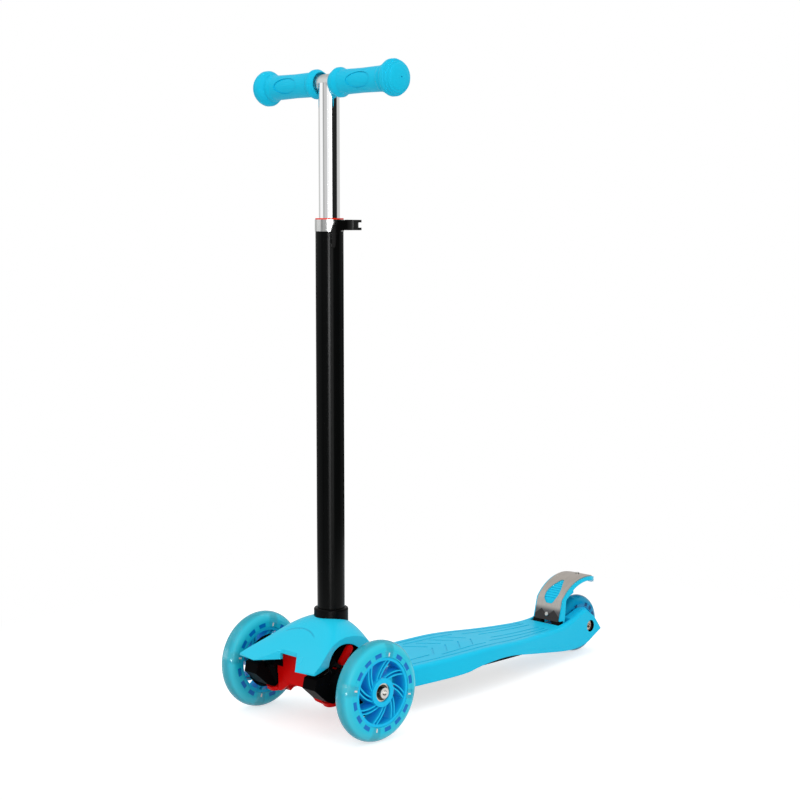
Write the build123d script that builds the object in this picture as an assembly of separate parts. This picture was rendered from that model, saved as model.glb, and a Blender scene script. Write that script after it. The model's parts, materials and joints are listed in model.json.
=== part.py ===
from build123d import *
import os
from math import atan2, cos, degrees, radians, sin, sqrt

# Three-wheeled kick scooter that is steered by leaning, with two wheels in front and one behind.
# It is drawn from the middle of the front axle line: X to the rider's left, Y backwards, Z up from
# the floor. At the end every piece is moved so that the origin is under the middle of the footprint.

# ---------------------------------------------------------------- clearances
RUNNING = 0.05               # radial, of a shaft in its bore
END_GAP = 0.1                # between faces that turn on each other
MOVING = 0.3                 # between other faces that move past each other

# ---------------------------------------------------------------- screws
SCREW_R = 1.5                # of the small screws
SCREW_HEAD_R = 3.0
SCREW_HEAD = 1.6
TONGUE_SCREW_R = 3.0
TONGUE_SCREW_HEAD_R = 5.0
TONGUE_SCREW_HEAD = 3.0
TONGUE_SCREW_LENGTH = 15.0
SOCKET_KEY_R = 3.4           # across the corners of the bolts' hexagon sockets, halved

# ---------------------------------------------------------------- sizes of the running gear
WHEELBASE = 491.5
FRONT_TRACK = 207.8          # between the mid planes of the front wheels
FRONT_WHEEL_D = 120.0
REAR_WHEEL_D = 80.0
WHEEL_WIDTH = 24.0
NOSE_REACH = 67.5            # front axle to the tips of the front cover
BRAKE_OVERHANG = 34.5        # rear axle to the tip of the brake
ARM_OVERHANG = 24.5          # rear axle to the ends of the deck's two arms
STEER_LIMIT = 15.0           # angle that a front wheel steers through to each side

# Ball bearings of the 608 size, two in each wheel
BEARING_D = 22.0
BEARING_BORE = 8.0
BEARING_WIDTH = 7.0
BEARING_RECESS = 1.5         # from the wheel's face to the bearing
SHIELD_RECESS = 0.6
INNER_RACE_R = 5.8
OUTER_RACE_R = 9.2

# Wheel hubs, cast into clear tyres through the windows of a flange
HUB_RIM_WALL = 3.5
HUB_RIM_INSET = 1.0          # from the wheel's face to the rim's edge
FRONT_BOSS_R = 17.0
REAR_BOSS_R = 15.0
FRONT_TYRE_HEIGHT = 19.0     # from the hub's rim to the tread
REAR_TYRE_HEIGHT = 16.0
FLANGE_WIDTH = 8.0
FLANGE_HEIGHT = 8.0
WINDOW_HEIGHT = 4.0
WINDOW_COUNT = 16
LIGHT_EVERY = 4              # every fourth window holds a light
FRONT_WINDOW_LENGTH = 11.0
REAR_WINDOW_LENGTH = 6.0
SPOKE_PAIRS = 8
SPOKE_DEPTH = 19.0
BLADE_THICKNESS = 2.2
BLADE_SPACING = 5.6          # between the middles of the two blades of a pair
BLADE_SWIRL = -40.0          # angle that a blade turns through from boss to rim
BLADE_BEND = 0.62            # share of that angle reached half way out
BLADE_START = 35.0           # angle of the first pair at the boss
LIGHT_DOME_R = 2.2
FRONT_WHEEL_TURN = -13.0     # how far the front wheels have rolled

# ---------------------------------------------------------------- sizes of the steering
KINGPIN_X = 50.0
KINGPIN_Y = -24.7
KINGPIN_Z = 60.0
KINGPIN_LEAN = 30.0          # the pins' tops lean forwards by this angle
KINGPIN_R = 5.0
KINGPIN_HEAD_R = 8.0
KINGPIN_HEAD = 2.0
KINGPIN_NUT_R = 7.0
KINGPIN_NUT = 5.0
BARREL_R = 13.0
BARREL_BOTTOM = -13.0        # faces of the ears, measured along the pin from its reference point
BARREL_TOP = 17.3
LOWER_EAR_R = 16.5
LOWER_EAR = 6.0
UPPER_EAR_R = 9.5
UPPER_EAR = 4.7
BUSH_WALL = 2.0
BUSH_FLANGE = 1.0
BUSH_FLANGE_R = 10.0
BUSH_LENGTH = 11.0
STEER_ARM = 24.0             # kingpin to tie rod pin
STEER_ARM_R = 7.0
STEER_ARM_THICKNESS = 7.3
TIE_ROD_R = 3.6
TIE_EYE = 7.6
TIE_PIN_R = 3.0
TIE_PIN_HEAD_R = 5.0
TIE_PIN_HEAD = 1.5
TIE_STOP_R = 6.5
TIE_STOP = 6.0
SPRING_SEAT_X = 24.0
SPRING_R = 5.4
SPRING_WIRE = 1.5
SPRING_TURNS = 4.5
DRUM_R = 33.0
DRUM_GAP = 1.5               # between the knuckle's drum and the wheel
AXLE_R = 3.95
AXLE_HEAD_R = 6.5
AXLE_HEAD = 4.0
AXLE_GRIP = 30.0             # length of the front axle bolt that sits in the knuckle

# ---------------------------------------------------------------- sizes of the truck and its cover
TRUCK_HALF = 36.0
TRUCK_FRONT = -31.0
TRUCK_REAR = 50.0
TRUCK_FLOOR = 51.0
TRUCK_TOP = 88.0
TRUCK_FRONT_TOP = 95.0
TONGUE_HALF = 33.7
TONGUE_END = 104.0
TONGUE_TOP = 45.7
TONGUE_THICKNESS = 7.7
BRACE_START_X = 46.0         # the upright braces beside the wheel arches
BRACE_END_X = 51.0
BRACE_FOOT = (-3.0, 84.5)    # middle of its round lower end, Y and Z
BRACE_HEAD = (9.0, 99.0)
BRACE_R = 4.0
BRACE_WEB_R = 2.5
COVER_WALL = 3.0
COVER_SIDE_X = 60.0          # where the cover's side profile is measured
COVER_TIP_X = 67.5
NOTCH_Y = -42.5              # the notch between the cover's front lobes
NOTCH_BACK_HALF = 13.0
NOTCH_FRONT_HALF = 37.5
# height of the cover against Y, in the middle and at COVER_SIDE_X
COVER_CENTRE = [(-74, 80), (-42.5, 95.5), (-20, 112), (3, 128.5), (24.4, 130), (45, 119), (60, 98),
                (74, 74), (88, 50)]
COVER_SIDE = [(-74, 80), (-58, 88), (-38, 97.5), (-12, 104), (8, 106), (26, 104), (40, 95),
              (57, 76), (80, 50)]
COVER_LAP = 1.0              # depth of the cover's seat in the deck
COVER_ARCH_R = 32.0
COVER_ARCH_Y = 1.0
COVER_ARCH_Z = 73.5
COVER_SCREW_X = 28.0
COVER_SCREW_Y = -21.0
COVER_SCREW_R = 1.75
COVER_SCREW_SEAT = 75.0
COVER_SCREW_GRIP = 7.0

# ---------------------------------------------------------------- sizes of the column and handlebar
COLUMN_Y = 24.4
COLUMN_R = 16.8
COLUMN_WALL = 1.6
COLUMN_TOP = 593.5
SOCKET_R = 21.0
SOCKET_FLOOR = 60.0
SOCKET_BASE = 56.0
SOCKET_TOP = 139.0
SOCKET_FLANGE_R = 27.4
SOCKET_FLANGE = 5.0
STEM_R = 12.5
STEM_WALL = 1.5
STEM_INSERT = 213.5          # length of the stem inside the column
SLEEVE_LENGTH = 54.5
SLEEVE_FLANGE = 1.5
CLAMP_R = 17.4
CLAMP_HEIGHT = 14.0
CLAMP_SLOT = 3.0
CLAMP_BOLT_R = 2.5
CLAMP_BOLT_OFFSET = 22.5     # column axis to clamp bolt
CLAMP_LUG = 16.0
CLAMP_WASHER_END = 24.9
LEVER_PIVOT = 31.4           # column axis to the lever's pivot, along the clamp bolt
LEVER_BARREL_R = 2.8
LEVER_EYE_R = 6.2
LEVER_HEIGHT = 12.4
LEVER_FORK_GAP = 6.2
LEVER_BAND_R = 22.8
LEVER_BAND = 6.0
LEVER_DROP = 33.0            # from the top of the lever to its tip
CLAMP_TURN = 45.0            # the clamp bolt's direction, seen from above
BUTTON_Z = 128.0
BUTTON_R = 4.0
BUTTON_PROUD = 2.5
BUTTON_FLANGE_R = 5.5
BUTTON_FLANGE = 2.0
BUTTON_INNER = 9.0           # column axis to the button's flange
BAR_Z = 767.0
BAR_R = 11.0
BAR_WALL = 1.5
GRIP_START = 13.0            # from the middle of the bar
GRIP_END = 122.0
GRIP_R = 14.7
GRIP_MOUTH_R = 17.5
GRIP_FLANGE_R = 21.3
GRIP_CAP = 5.0

# ---------------------------------------------------------------- places that follow
AXLE_Z = FRONT_WHEEL_D / 2
REAR_AXLE_Z = REAR_WHEEL_D / 2
WHEEL_X = FRONT_TRACK / 2
HALF_WHEEL = WHEEL_WIDTH / 2
BEARING_FACE = HALF_WHEEL - BEARING_RECESS
FRONT_RIM_R = FRONT_WHEEL_D / 2 - FRONT_TYRE_HEIGHT
REAR_RIM_R = REAR_WHEEL_D / 2 - REAR_TYRE_HEIGHT
STEM_BOTTOM = COLUMN_TOP - STEM_INSERT
TAIL_Y = WHEELBASE + ARM_OVERHANG

# ---------------------------------------------------------------- sizes of the deck
DECK_FRONT = 50.0
DECK_WALL = 3.2
DECK_CEILING = 4.0           # thickness of the deck's top
DECK_TOP = 57.0
DECK_BOTTOM = 32.0           # in front
DECK_EDGE_R = 5.0
TAIL_HALF = 28.5             # half the width at the ends of the arms
# half the deck's width against the share of the way from its front to the rear axle
DECK_SIDE = [(0, 46), (0.113, 52), (0.351, 57), (0.566, 51.5), (0.68, 44.5), (0.793, 38),
             (0.906, 32.5)]
# heights of the deck's top and underside against the same share
DECK_DIP_START = 0.419
DECK_DIP = [(0.612, 52.5), (0.759, 50)]
DECK_ARCH = [(0.657, 30), (0.528, 37.5), (0.396, 34.5)]
DECK_ARCH_END = (0.274, 31.5)
# outline of the tail, measured from the rear axle
TAIL_RISE = [(-54.5, 13), (-29.5, 20.5), (-11.5, 26)]
TAIL_END = [(8.5, 12.5), (ARM_OVERHANG, -7.5), (-3.5, -21)]
TAIL_UNDER = [(-46.5, -25.5), (-86.5, -20.5)]
TONGUE_SCREWS = [(x, y) for x in (-20, 20) for y in (66, 92)]
CAVITY_START = 112.0
CAVITY_END = WHEELBASE - 75.5
RIB_THICKNESS = 2.5
RIB_BOTTOM = 33.0
RIB_PITCH = 40.0
RIB_X = 16.0
PLATE_HALF = 40.0
PLATE_START = CAVITY_START + MOVING
PLATE_END = CAVITY_END - 62.0
PLATE_THICKNESS = 3.5
PLATE_SCREW_TOP = 45.0
LAST_SCREW_RIB = int((PLATE_END - CAVITY_START) / RIB_PITCH) - 1
PLATE_SCREWS = [(x, CAVITY_START + RIB_PITCH * rib) for x in (-RIB_X, RIB_X)
                for rib in (1, LAST_SCREW_RIB)]
PATTERN_DEPTH = 0.7
PATTERN_WIDTH = 2.0
PATTERN_INSET = 11.0         # from the deck's side to the long grooves
WHEEL_SLOT_HALF = HALF_WHEEL + 3.0
WHEEL_SLOT_START = WHEELBASE - REAR_WHEEL_D / 2 - 5.5
BRAKE_SLOT_HALF = 26.3
BRAKE_SLOT_START = WHEELBASE - 67.0
BRAKE_SLOT_END = WHEELBASE - 40.5
BRAKE_SLOT_FLOOR = REAR_AXLE_Z - 6.0
REAR_RECESS_R = 8.0
HEAD_SEAT_X = 22.0           # where the rear bolt's head and nut sit in the arms

# ---------------------------------------------------------------- sizes of the brake
BRAKE_PIVOT_Y = WHEELBASE - 57.5
BRAKE_PIVOT_Z = REAR_AXLE_Z + 4.0
BRAKE_PIN_R = 3.0
BRAKE_PIN_HALF = 31.0
BRAKE_BARREL_R = 6.3
BRAKE_HALF = 24.0
BRAKE_CENTRE_Z = REAR_AXLE_Z + 1.0
BRAKE_R = REAR_WHEEL_D / 2 + 28.0
BRAKE_THICKNESS = 5.0
BRAKE_KNEE_Y = BRAKE_PIVOT_Y + 4.0    # where the brake's arc turns down to the pivot
BRAKE_MID_Y = WHEELBASE - 19.5
BRAKE_TAPER_Y = WHEELBASE - 29.5      # where its sides start to close in
BRAKE_PAD_R = REAR_WHEEL_D / 2 + 7.0
BRAKE_PAD_HALF = 9.0
BRAKE_PAD_START = WHEELBASE - 36.5
BRAKE_PAD_END = WHEELBASE - 13.5
BRAKE_PLATE = 1.2
BRAKE_PLATE_INSET = 2.6
BRAKE_PLATE_FOOT_Z = BRAKE_PIVOT_Z + 10.0
LOW_SCREW_Z = BRAKE_PIVOT_Z + 18.0
TOP_SCREW_ANGLE = 85.5
WINDOW_ANGLE = 130.0         # direction of the window in the metal plate, seen from the rear axle
# half the window's width against the way along the plate
BRAKE_WINDOW = [(2.4, -21.5), (7.5, -10), (11.5, 4), (9.5, 15), (4.5, 20)]
BRAKE_RIB_PITCH = 4.2
BRAKE_RIB_WIDTH = 1.8
BRAKE_RIB_DEPTH = 0.9
BRAKE_SPRING_R = 4.1
BRAKE_SPRING_WIRE = 1.3
BRAKE_SPRING_TURNS = 5.0
BRAKE_SPRING_HALF = 7.0      # half the coil's length
BRAKE_SPRING_ROOM = 12.0     # half the height of the room for it in the arm

SHIFT_Y = (NOSE_REACH - WHEELBASE - REAR_WHEEL_D / 2) / 2
os.makedirs("parts", exist_ok=True)


# ---------------------------------------------------------------- drawing helpers
def outline(*points):
    """A flat face inside straight lines through the points."""
    return make_face(Polyline(*points, close=True))


def turned(*points):
    """A solid turned about the X axis from (x, radius) points."""
    return revolve(outline(*points), Axis.X)


def across(face, start, end):
    """A face drawn in Y and Z, drawn out across the scooter from one X to another."""
    return extrude(Plane.YZ.offset(start) * face, end - start)


def upright(face, low, high):
    """A face drawn in X and Y, drawn up from one height to another."""
    return extrude(Plane.XY.offset(low) * face, high - low)


def bar(radius, start, direction, length, bore=0.0):
    """A round bar or sleeve from a point along a direction."""
    section = Circle(radius)
    if bore:
        section -= Circle(bore)
    return extrude(Plane(origin=start, z_dir=direction) * section, length)


def polar(radius, angle):
    return (radius * cos(radians(angle)), radius * sin(radians(angle)))


def hexagon(across_corners, start, direction, length):
    face = RegularPolygon(across_corners, 6)
    return extrude(Plane(origin=start, z_dir=direction) * face, length)


def save(name, *solids):
    """Move a node's solids to the scooter's own origin and write them."""
    placed = [Pos(0, SHIFT_Y, 0) * solid for solid in solids]
    node = placed[0] if len(placed) == 1 else Compound(children=placed)
    node.label = name
    export_step(node, f"parts/{name}.step")


def save_pair(stem, *solids):
    """Write the left piece and its mirror image on the right."""
    save(f"{stem}_left", *solids)
    save(f"{stem}_right", *[mirror(solid, about=Plane.YZ) for solid in solids])


# ---------------------------------------------------------------- wheels
def tyre_blank(wheel_d, rim_r):
    """A full-round tyre, as wide as its tread's radius doubled."""
    shoulder_r = wheel_d / 2 - HALF_WHEEL
    section = make_face([
        Line((-HALF_WHEEL, rim_r), (-HALF_WHEEL, shoulder_r)),
        ThreePointArc((-HALF_WHEEL, shoulder_r), (0, wheel_d / 2), (HALF_WHEEL, shoulder_r)),
        Line((HALF_WHEEL, shoulder_r), (HALF_WHEEL, rim_r)),
        Line((HALF_WHEEL, rim_r), (-HALF_WHEEL, rim_r)),
    ])
    return revolve(section, Axis.X)


def blade(angle, offset, inner_r, outer_r):
    """One curved spoke blade from the boss to the rim, beside its pair's middle line."""
    mid_r = (inner_r + outer_r) / 2
    edges = []
    for side in (-0.5, 0.5):
        aside = offset + side * BLADE_THICKNESS
        places = []
        for radius, share in ((inner_r, 0), (mid_r, BLADE_BEND), (outer_r, 1)):
            places.append(polar(radius, angle + share * BLADE_SWIRL + degrees(aside / radius)))
        edges.append(places)
    left, right = edges
    face = make_face([
        ThreePointArc(*left),
        Line(left[2], right[2]),
        ThreePointArc(*right),
        Line(left[0], right[0]),
    ])
    return across(face, -SPOKE_DEPTH / 2, SPOKE_DEPTH / 2)


def flange_block(index, length, low, high, width):
    """A block that stands in the flange at one of its windows."""
    block = Pos(0, 0, (low + high) / 2) * Box(width, length, high - low)
    return Rot(360 / WINDOW_COUNT * index, 0, 0) * block


def hub_and_lights(rim_r, boss_r, window_length):
    """The moulded hub, and the light modules that sit in its flange."""
    rim_half = HALF_WHEEL - HUB_RIM_INSET
    flange_half = FLANGE_WIDTH / 2
    flange_r = rim_r + FLANGE_HEIGHT
    inner_r = rim_r - HUB_RIM_WALL
    rim = turned(
        (-rim_half, inner_r), (-rim_half, rim_r), (-flange_half, rim_r), (-flange_half, flange_r),
        (flange_half, flange_r), (flange_half, rim_r), (rim_half, rim_r), (rim_half, inner_r),
    )
    seat_r = BEARING_D / 2
    shoulder = BEARING_FACE - BEARING_WIDTH
    boss = turned(
        (-HALF_WHEEL, seat_r), (-HALF_WHEEL, boss_r), (HALF_WHEEL, boss_r),
        (HALF_WHEEL, seat_r), (shoulder, seat_r), (shoulder, OUTER_RACE_R + MOVING),
        (-shoulder, OUTER_RACE_R + MOVING), (-shoulder, seat_r),
    )
    blades = []
    for pair in range(SPOKE_PAIRS):
        for side in (-0.5, 0.5):
            angle = BLADE_START + 360 / SPOKE_PAIRS * pair
            blades.append(blade(angle, side * BLADE_SPACING, boss_r - 1, inner_r + 1))
    hub = rim + boss + blades
    window_low = rim_r + (FLANGE_HEIGHT - WINDOW_HEIGHT) / 2
    lights = []
    for index in range(WINDOW_COUNT):
        if index % LIGHT_EVERY:
            hub -= flange_block(index, window_length, window_low, window_low + WINDOW_HEIGHT,
                                WHEEL_WIDTH)
        else:
            module = flange_block(index, window_length, rim_r + 1, flange_r, FLANGE_WIDTH)
            dome = Pos(0, 0, flange_r) * Sphere(LIGHT_DOME_R)
            module += Rot(360 / WINDOW_COUNT * index, 0, 0) * dome
            hub -= flange_block(index, window_length, rim_r + 1, flange_r + 1, WHEEL_WIDTH)
            lights.append(module)
    return hub, lights


def bearing(centre):
    """A 608 ball bearing with its shields set back between the races."""
    half = BEARING_WIDTH / 2
    back = half - SHIELD_RECESS
    bore_r = BEARING_BORE / 2
    ring = turned(
        (-half, bore_r), (-half, INNER_RACE_R), (-back, INNER_RACE_R), (-back, OUTER_RACE_R),
        (-half, OUTER_RACE_R), (-half, BEARING_D / 2), (half, BEARING_D / 2),
        (half, OUTER_RACE_R), (back, OUTER_RACE_R), (back, INNER_RACE_R), (half, INNER_RACE_R),
        (half, bore_r),
    )
    return Pos(centre, 0, 0) * ring


def magnet_core():
    """The spacer between the bearings' inner races, with the lights' ring magnet on it."""
    half = BEARING_FACE - BEARING_WIDTH - END_GAP
    return turned(
        (-half, AXLE_R), (-half, INNER_RACE_R), (1 - half, INNER_RACE_R), (1 - half, OUTER_RACE_R),
        (half - 1, OUTER_RACE_R), (half - 1, INNER_RACE_R), (half, INNER_RACE_R), (half, AXLE_R),
    )


def wheel(wheel_d, rim_r, boss_r, window_length):
    """All pieces of one wheel, about the X axis at the origin."""
    hub, lights = hub_and_lights(rim_r, boss_r, window_length)
    tyre = tyre_blank(wheel_d, rim_r) - hub
    for light in lights:
        tyre -= light
    bearing_x = BEARING_FACE - BEARING_WIDTH / 2
    bearings = [bearing(-bearing_x), bearing(bearing_x)]
    return tyre, hub, lights, bearings


def save_front_wheels():
    tyre, hub, lights, bearings = wheel(FRONT_WHEEL_D, FRONT_RIM_R, FRONT_BOSS_R,
                                        FRONT_WINDOW_LENGTH)
    place = Pos(WHEEL_X, 0, AXLE_Z) * Rot(FRONT_WHEEL_TURN, 0, 0)
    save_pair("front_tyre", place * tyre)
    save_pair("front_hub", place * hub)
    save_pair("front_lights", *[place * light for light in lights])
    save_pair("front_bearings", *[place * ring for ring in bearings])
    save_pair("front_magnet", place * magnet_core())
    bolt = bar(AXLE_R, (BEARING_FACE + END_GAP, 0, 0), (-1, 0, 0),
               2 * BEARING_FACE + 2 * END_GAP + AXLE_GRIP)
    head = bar(AXLE_HEAD_R, (BEARING_FACE + END_GAP, 0, 0), (1, 0, 0), AXLE_HEAD)
    socket = hexagon(SOCKET_KEY_R, (BEARING_FACE + END_GAP + 1, 0, 0), (1, 0, 0), AXLE_HEAD)
    save_pair("front_axle_bolt", place * (bolt + head - socket))


# ---------------------------------------------------------------- steering, drawn on the left
PIN_PLANE = Plane(
    origin=(KINGPIN_X, KINGPIN_Y, KINGPIN_Z),
    x_dir=(1, 0, 0),
    z_dir=(0, -sin(radians(KINGPIN_LEAN)), cos(radians(KINGPIN_LEAN))),
)
TIE_Y = KINGPIN_Y + STEER_ARM * cos(radians(KINGPIN_LEAN))
TIE_Z = KINGPIN_Z + STEER_ARM * sin(radians(KINGPIN_LEAN))


def on_pin(face, low, high):
    """A face drawn square to the left kingpin, drawn out along it between two stations."""
    return extrude(PIN_PLANE.offset(low) * face, high - low)


def steering_envelope():
    """The space that the left ears fill and the knuckle keeps clear of."""
    under = on_pin(Pos(-6, 8) * Rectangle(49, 60), -60, BARREL_BOTTOM + MOVING)
    over = on_pin(Pos(-9, 14) * Rectangle(44, 54), BARREL_TOP - MOVING, 60)
    return under, over


def knuckle():
    """The moulding between kingpin, wheel and tie rod."""
    bore_r = KINGPIN_R + RUNNING + BUSH_WALL
    barrel_low = BARREL_BOTTOM + MOVING + BUSH_FLANGE
    barrel_high = BARREL_TOP - MOVING - BUSH_FLANGE
    shield = across(outline(
        (-57, 75.5), (-60, 63), (-42, 47), (-22, 38), (-6, 42), (6, 56), (4, 70), (-8, 78),
        (-24, 80), (-40, 78)), KINGPIN_X - 8, KINGPIN_X + 14)
    web = across(outline(
        (-38, 70), (-30, 50), (-12, 40), (8, 44), (18, 58), (14, 71), (-6, 78), (-26, 80)),
        KINGPIN_X + 10, WHEEL_X - 26)
    under, over = steering_envelope()
    barrel = on_pin(Circle(BARREL_R), barrel_low, barrel_high)
    arm_face = Pos(0, STEER_ARM / 2) * Rectangle(2 * STEER_ARM_R, STEER_ARM)
    arm_face += Pos(0, STEER_ARM) * Circle(STEER_ARM_R)
    arm_top = -TIE_EYE / 2 - MOVING
    arm = on_pin(arm_face, arm_top - STEER_ARM_THICKNESS, arm_top)
    wheel_face = WHEEL_X - HALF_WHEEL - DRUM_GAP
    stub_end = WHEEL_X - BEARING_FACE - END_GAP
    drum = Pos(0, 0, AXLE_Z) * turned(
        (WHEEL_X - 40, 0), (WHEEL_X - 40, 13), (WHEEL_X - 30, 15), (WHEEL_X - 20, DRUM_R - 2),
        (wheel_face, DRUM_R), (wheel_face, DRUM_R - 4), (wheel_face - 4, DRUM_R - 6),
        (WHEEL_X - 25, 12), (WHEEL_X - 25, 9), (wheel_face, 8), (wheel_face, INNER_RACE_R),
        (stub_end, INNER_RACE_R), (stub_end, 0))
    eye_room_face = Pos(0, STEER_ARM) * Circle(STEER_ARM_R + 2)
    for turn in (-STEER_LIMIT, 0, STEER_LIMIT):
        rod_room = Pos(-STEER_ARM_R - 10, 0) * Rectangle(30, 2 * (TIE_ROD_R + 2 * MOVING))
        eye_room_face += Pos(0, STEER_ARM) * Rot(0, 0, turn) * rod_room
    truck_side = Pos(TRUCK_HALF + 2 * MOVING - KINGPIN_X - 30, 0) * Rectangle(60, 160)
    body = shield + web + drum - under - over
    body -= on_pin(Rot(0, 0, -STEER_LIMIT) * truck_side, -60, 60)
    body += barrel + arm
    body -= on_pin(eye_room_face, arm_top, 40)
    body -= on_pin(Circle(bore_r), -40, 40)
    body -= on_pin(Circle(BUSH_FLANGE_R), -40, barrel_low) + on_pin(
        Circle(BUSH_FLANGE_R), barrel_high, 40)
    body -= bar(AXLE_R, (WHEEL_X - BEARING_FACE - AXLE_GRIP - END_GAP, 0, AXLE_Z), (1, 0, 0), 60)
    body -= on_pin(Pos(0, STEER_ARM) * Circle(TIE_PIN_R), -40, 40)
    return body


def kingpin_bushes():
    """Two flanged sleeves pressed into the knuckle's barrel."""
    inner = Circle(KINGPIN_R + RUNNING)
    sleeve = Circle(KINGPIN_R + RUNNING + BUSH_WALL) - inner
    flange = Circle(BUSH_FLANGE_R) - inner
    low = BARREL_BOTTOM + MOVING
    high = BARREL_TOP - MOVING
    lower = on_pin(flange, low, low + BUSH_FLANGE) + on_pin(sleeve, low, low + BUSH_LENGTH)
    upper = on_pin(flange, high - BUSH_FLANGE, high) + on_pin(sleeve, high - BUSH_LENGTH, high)
    return lower, upper


def kingpin():
    ear_bottom = BARREL_BOTTOM - LOWER_EAR
    ear_top = BARREL_TOP + UPPER_EAR
    shank = on_pin(Circle(KINGPIN_R), ear_bottom - KINGPIN_NUT, ear_top)
    head = on_pin(Circle(KINGPIN_HEAD_R), ear_top - KINGPIN_HEAD, ear_top)
    nut = on_pin(RegularPolygon(KINGPIN_NUT_R, 6), ear_bottom - KINGPIN_NUT, ear_bottom)
    return shank + head + nut


def tie_rod_pin():
    low = -TIE_EYE / 2 - MOVING - STEER_ARM_THICKNESS
    high = TIE_EYE / 2 + MOVING
    shank = on_pin(Pos(0, STEER_ARM) * Circle(TIE_PIN_R), low, high + TIE_PIN_HEAD)
    head = on_pin(Pos(0, STEER_ARM) * Circle(TIE_PIN_HEAD_R), high, high + TIE_PIN_HEAD)
    return shank + head


def tie_rod():
    """The link between the steering arms, with a stop in the middle for the centring springs."""
    eye = on_pin(Pos(0, STEER_ARM) * Circle(STEER_ARM_R), -TIE_EYE / 2, TIE_EYE / 2)
    reach = KINGPIN_X - STEER_ARM_R + 2
    rod = bar(TIE_ROD_R, (-reach, TIE_Y, TIE_Z), (1, 0, 0), 2 * reach)
    stop = bar(TIE_STOP_R, (-TIE_STOP / 2, TIE_Y, TIE_Z), (1, 0, 0), TIE_STOP)
    hole = on_pin(Pos(0, STEER_ARM) * Circle(TIE_PIN_R + RUNNING), -20, 20)
    body = rod + stop + eye + mirror(eye, about=Plane.YZ)
    return body - hole - mirror(hole, about=Plane.YZ)


def centring_spring():
    """A compression spring between the tie rod's stop and the truck's wall."""
    free = SPRING_SEAT_X - TIE_STOP / 2 - SPRING_WIRE
    start = Vector(TIE_STOP / 2 + SPRING_WIRE / 2, TIE_Y, TIE_Z)
    path = Helix(pitch=free / SPRING_TURNS, height=free, radius=SPRING_R, center=start,
                 direction=(1, 0, 0))
    wire_plane = Plane(origin=path @ 0, z_dir=path % 0)
    return sweep(wire_plane * RegularPolygon(SPRING_WIRE / 2, 6), path=path, is_frenet=True)


def save_steering():
    save_pair("knuckle", knuckle())
    save_pair("kingpin_bushes", *kingpin_bushes())
    save_pair("kingpin", kingpin())
    save_pair("tie_rod_pin", tie_rod_pin())
    save("tie_rod", tie_rod())
    save_pair("centring_spring", centring_spring())


# ---------------------------------------------------------------- truck body
def brace():
    """The left upright slab beside the wheel arch, held out from the block by a thin web."""
    foot = Vector(*BRACE_FOOT)
    run = Vector(*BRACE_HEAD) - foot
    lean = Pos(foot + run / 2) * Rot(0, 0, degrees(atan2(run.Y, run.X)))
    slab = across(lean * SlotCenterToCenter(run.length, 2 * BRACE_R), BRACE_START_X, BRACE_END_X)
    web = across(lean * SlotCenterToCenter(run.length, 2 * BRACE_WEB_R), TRUCK_HALF - 2,
                 BRACE_START_X + 1)
    return slab + web


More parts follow.
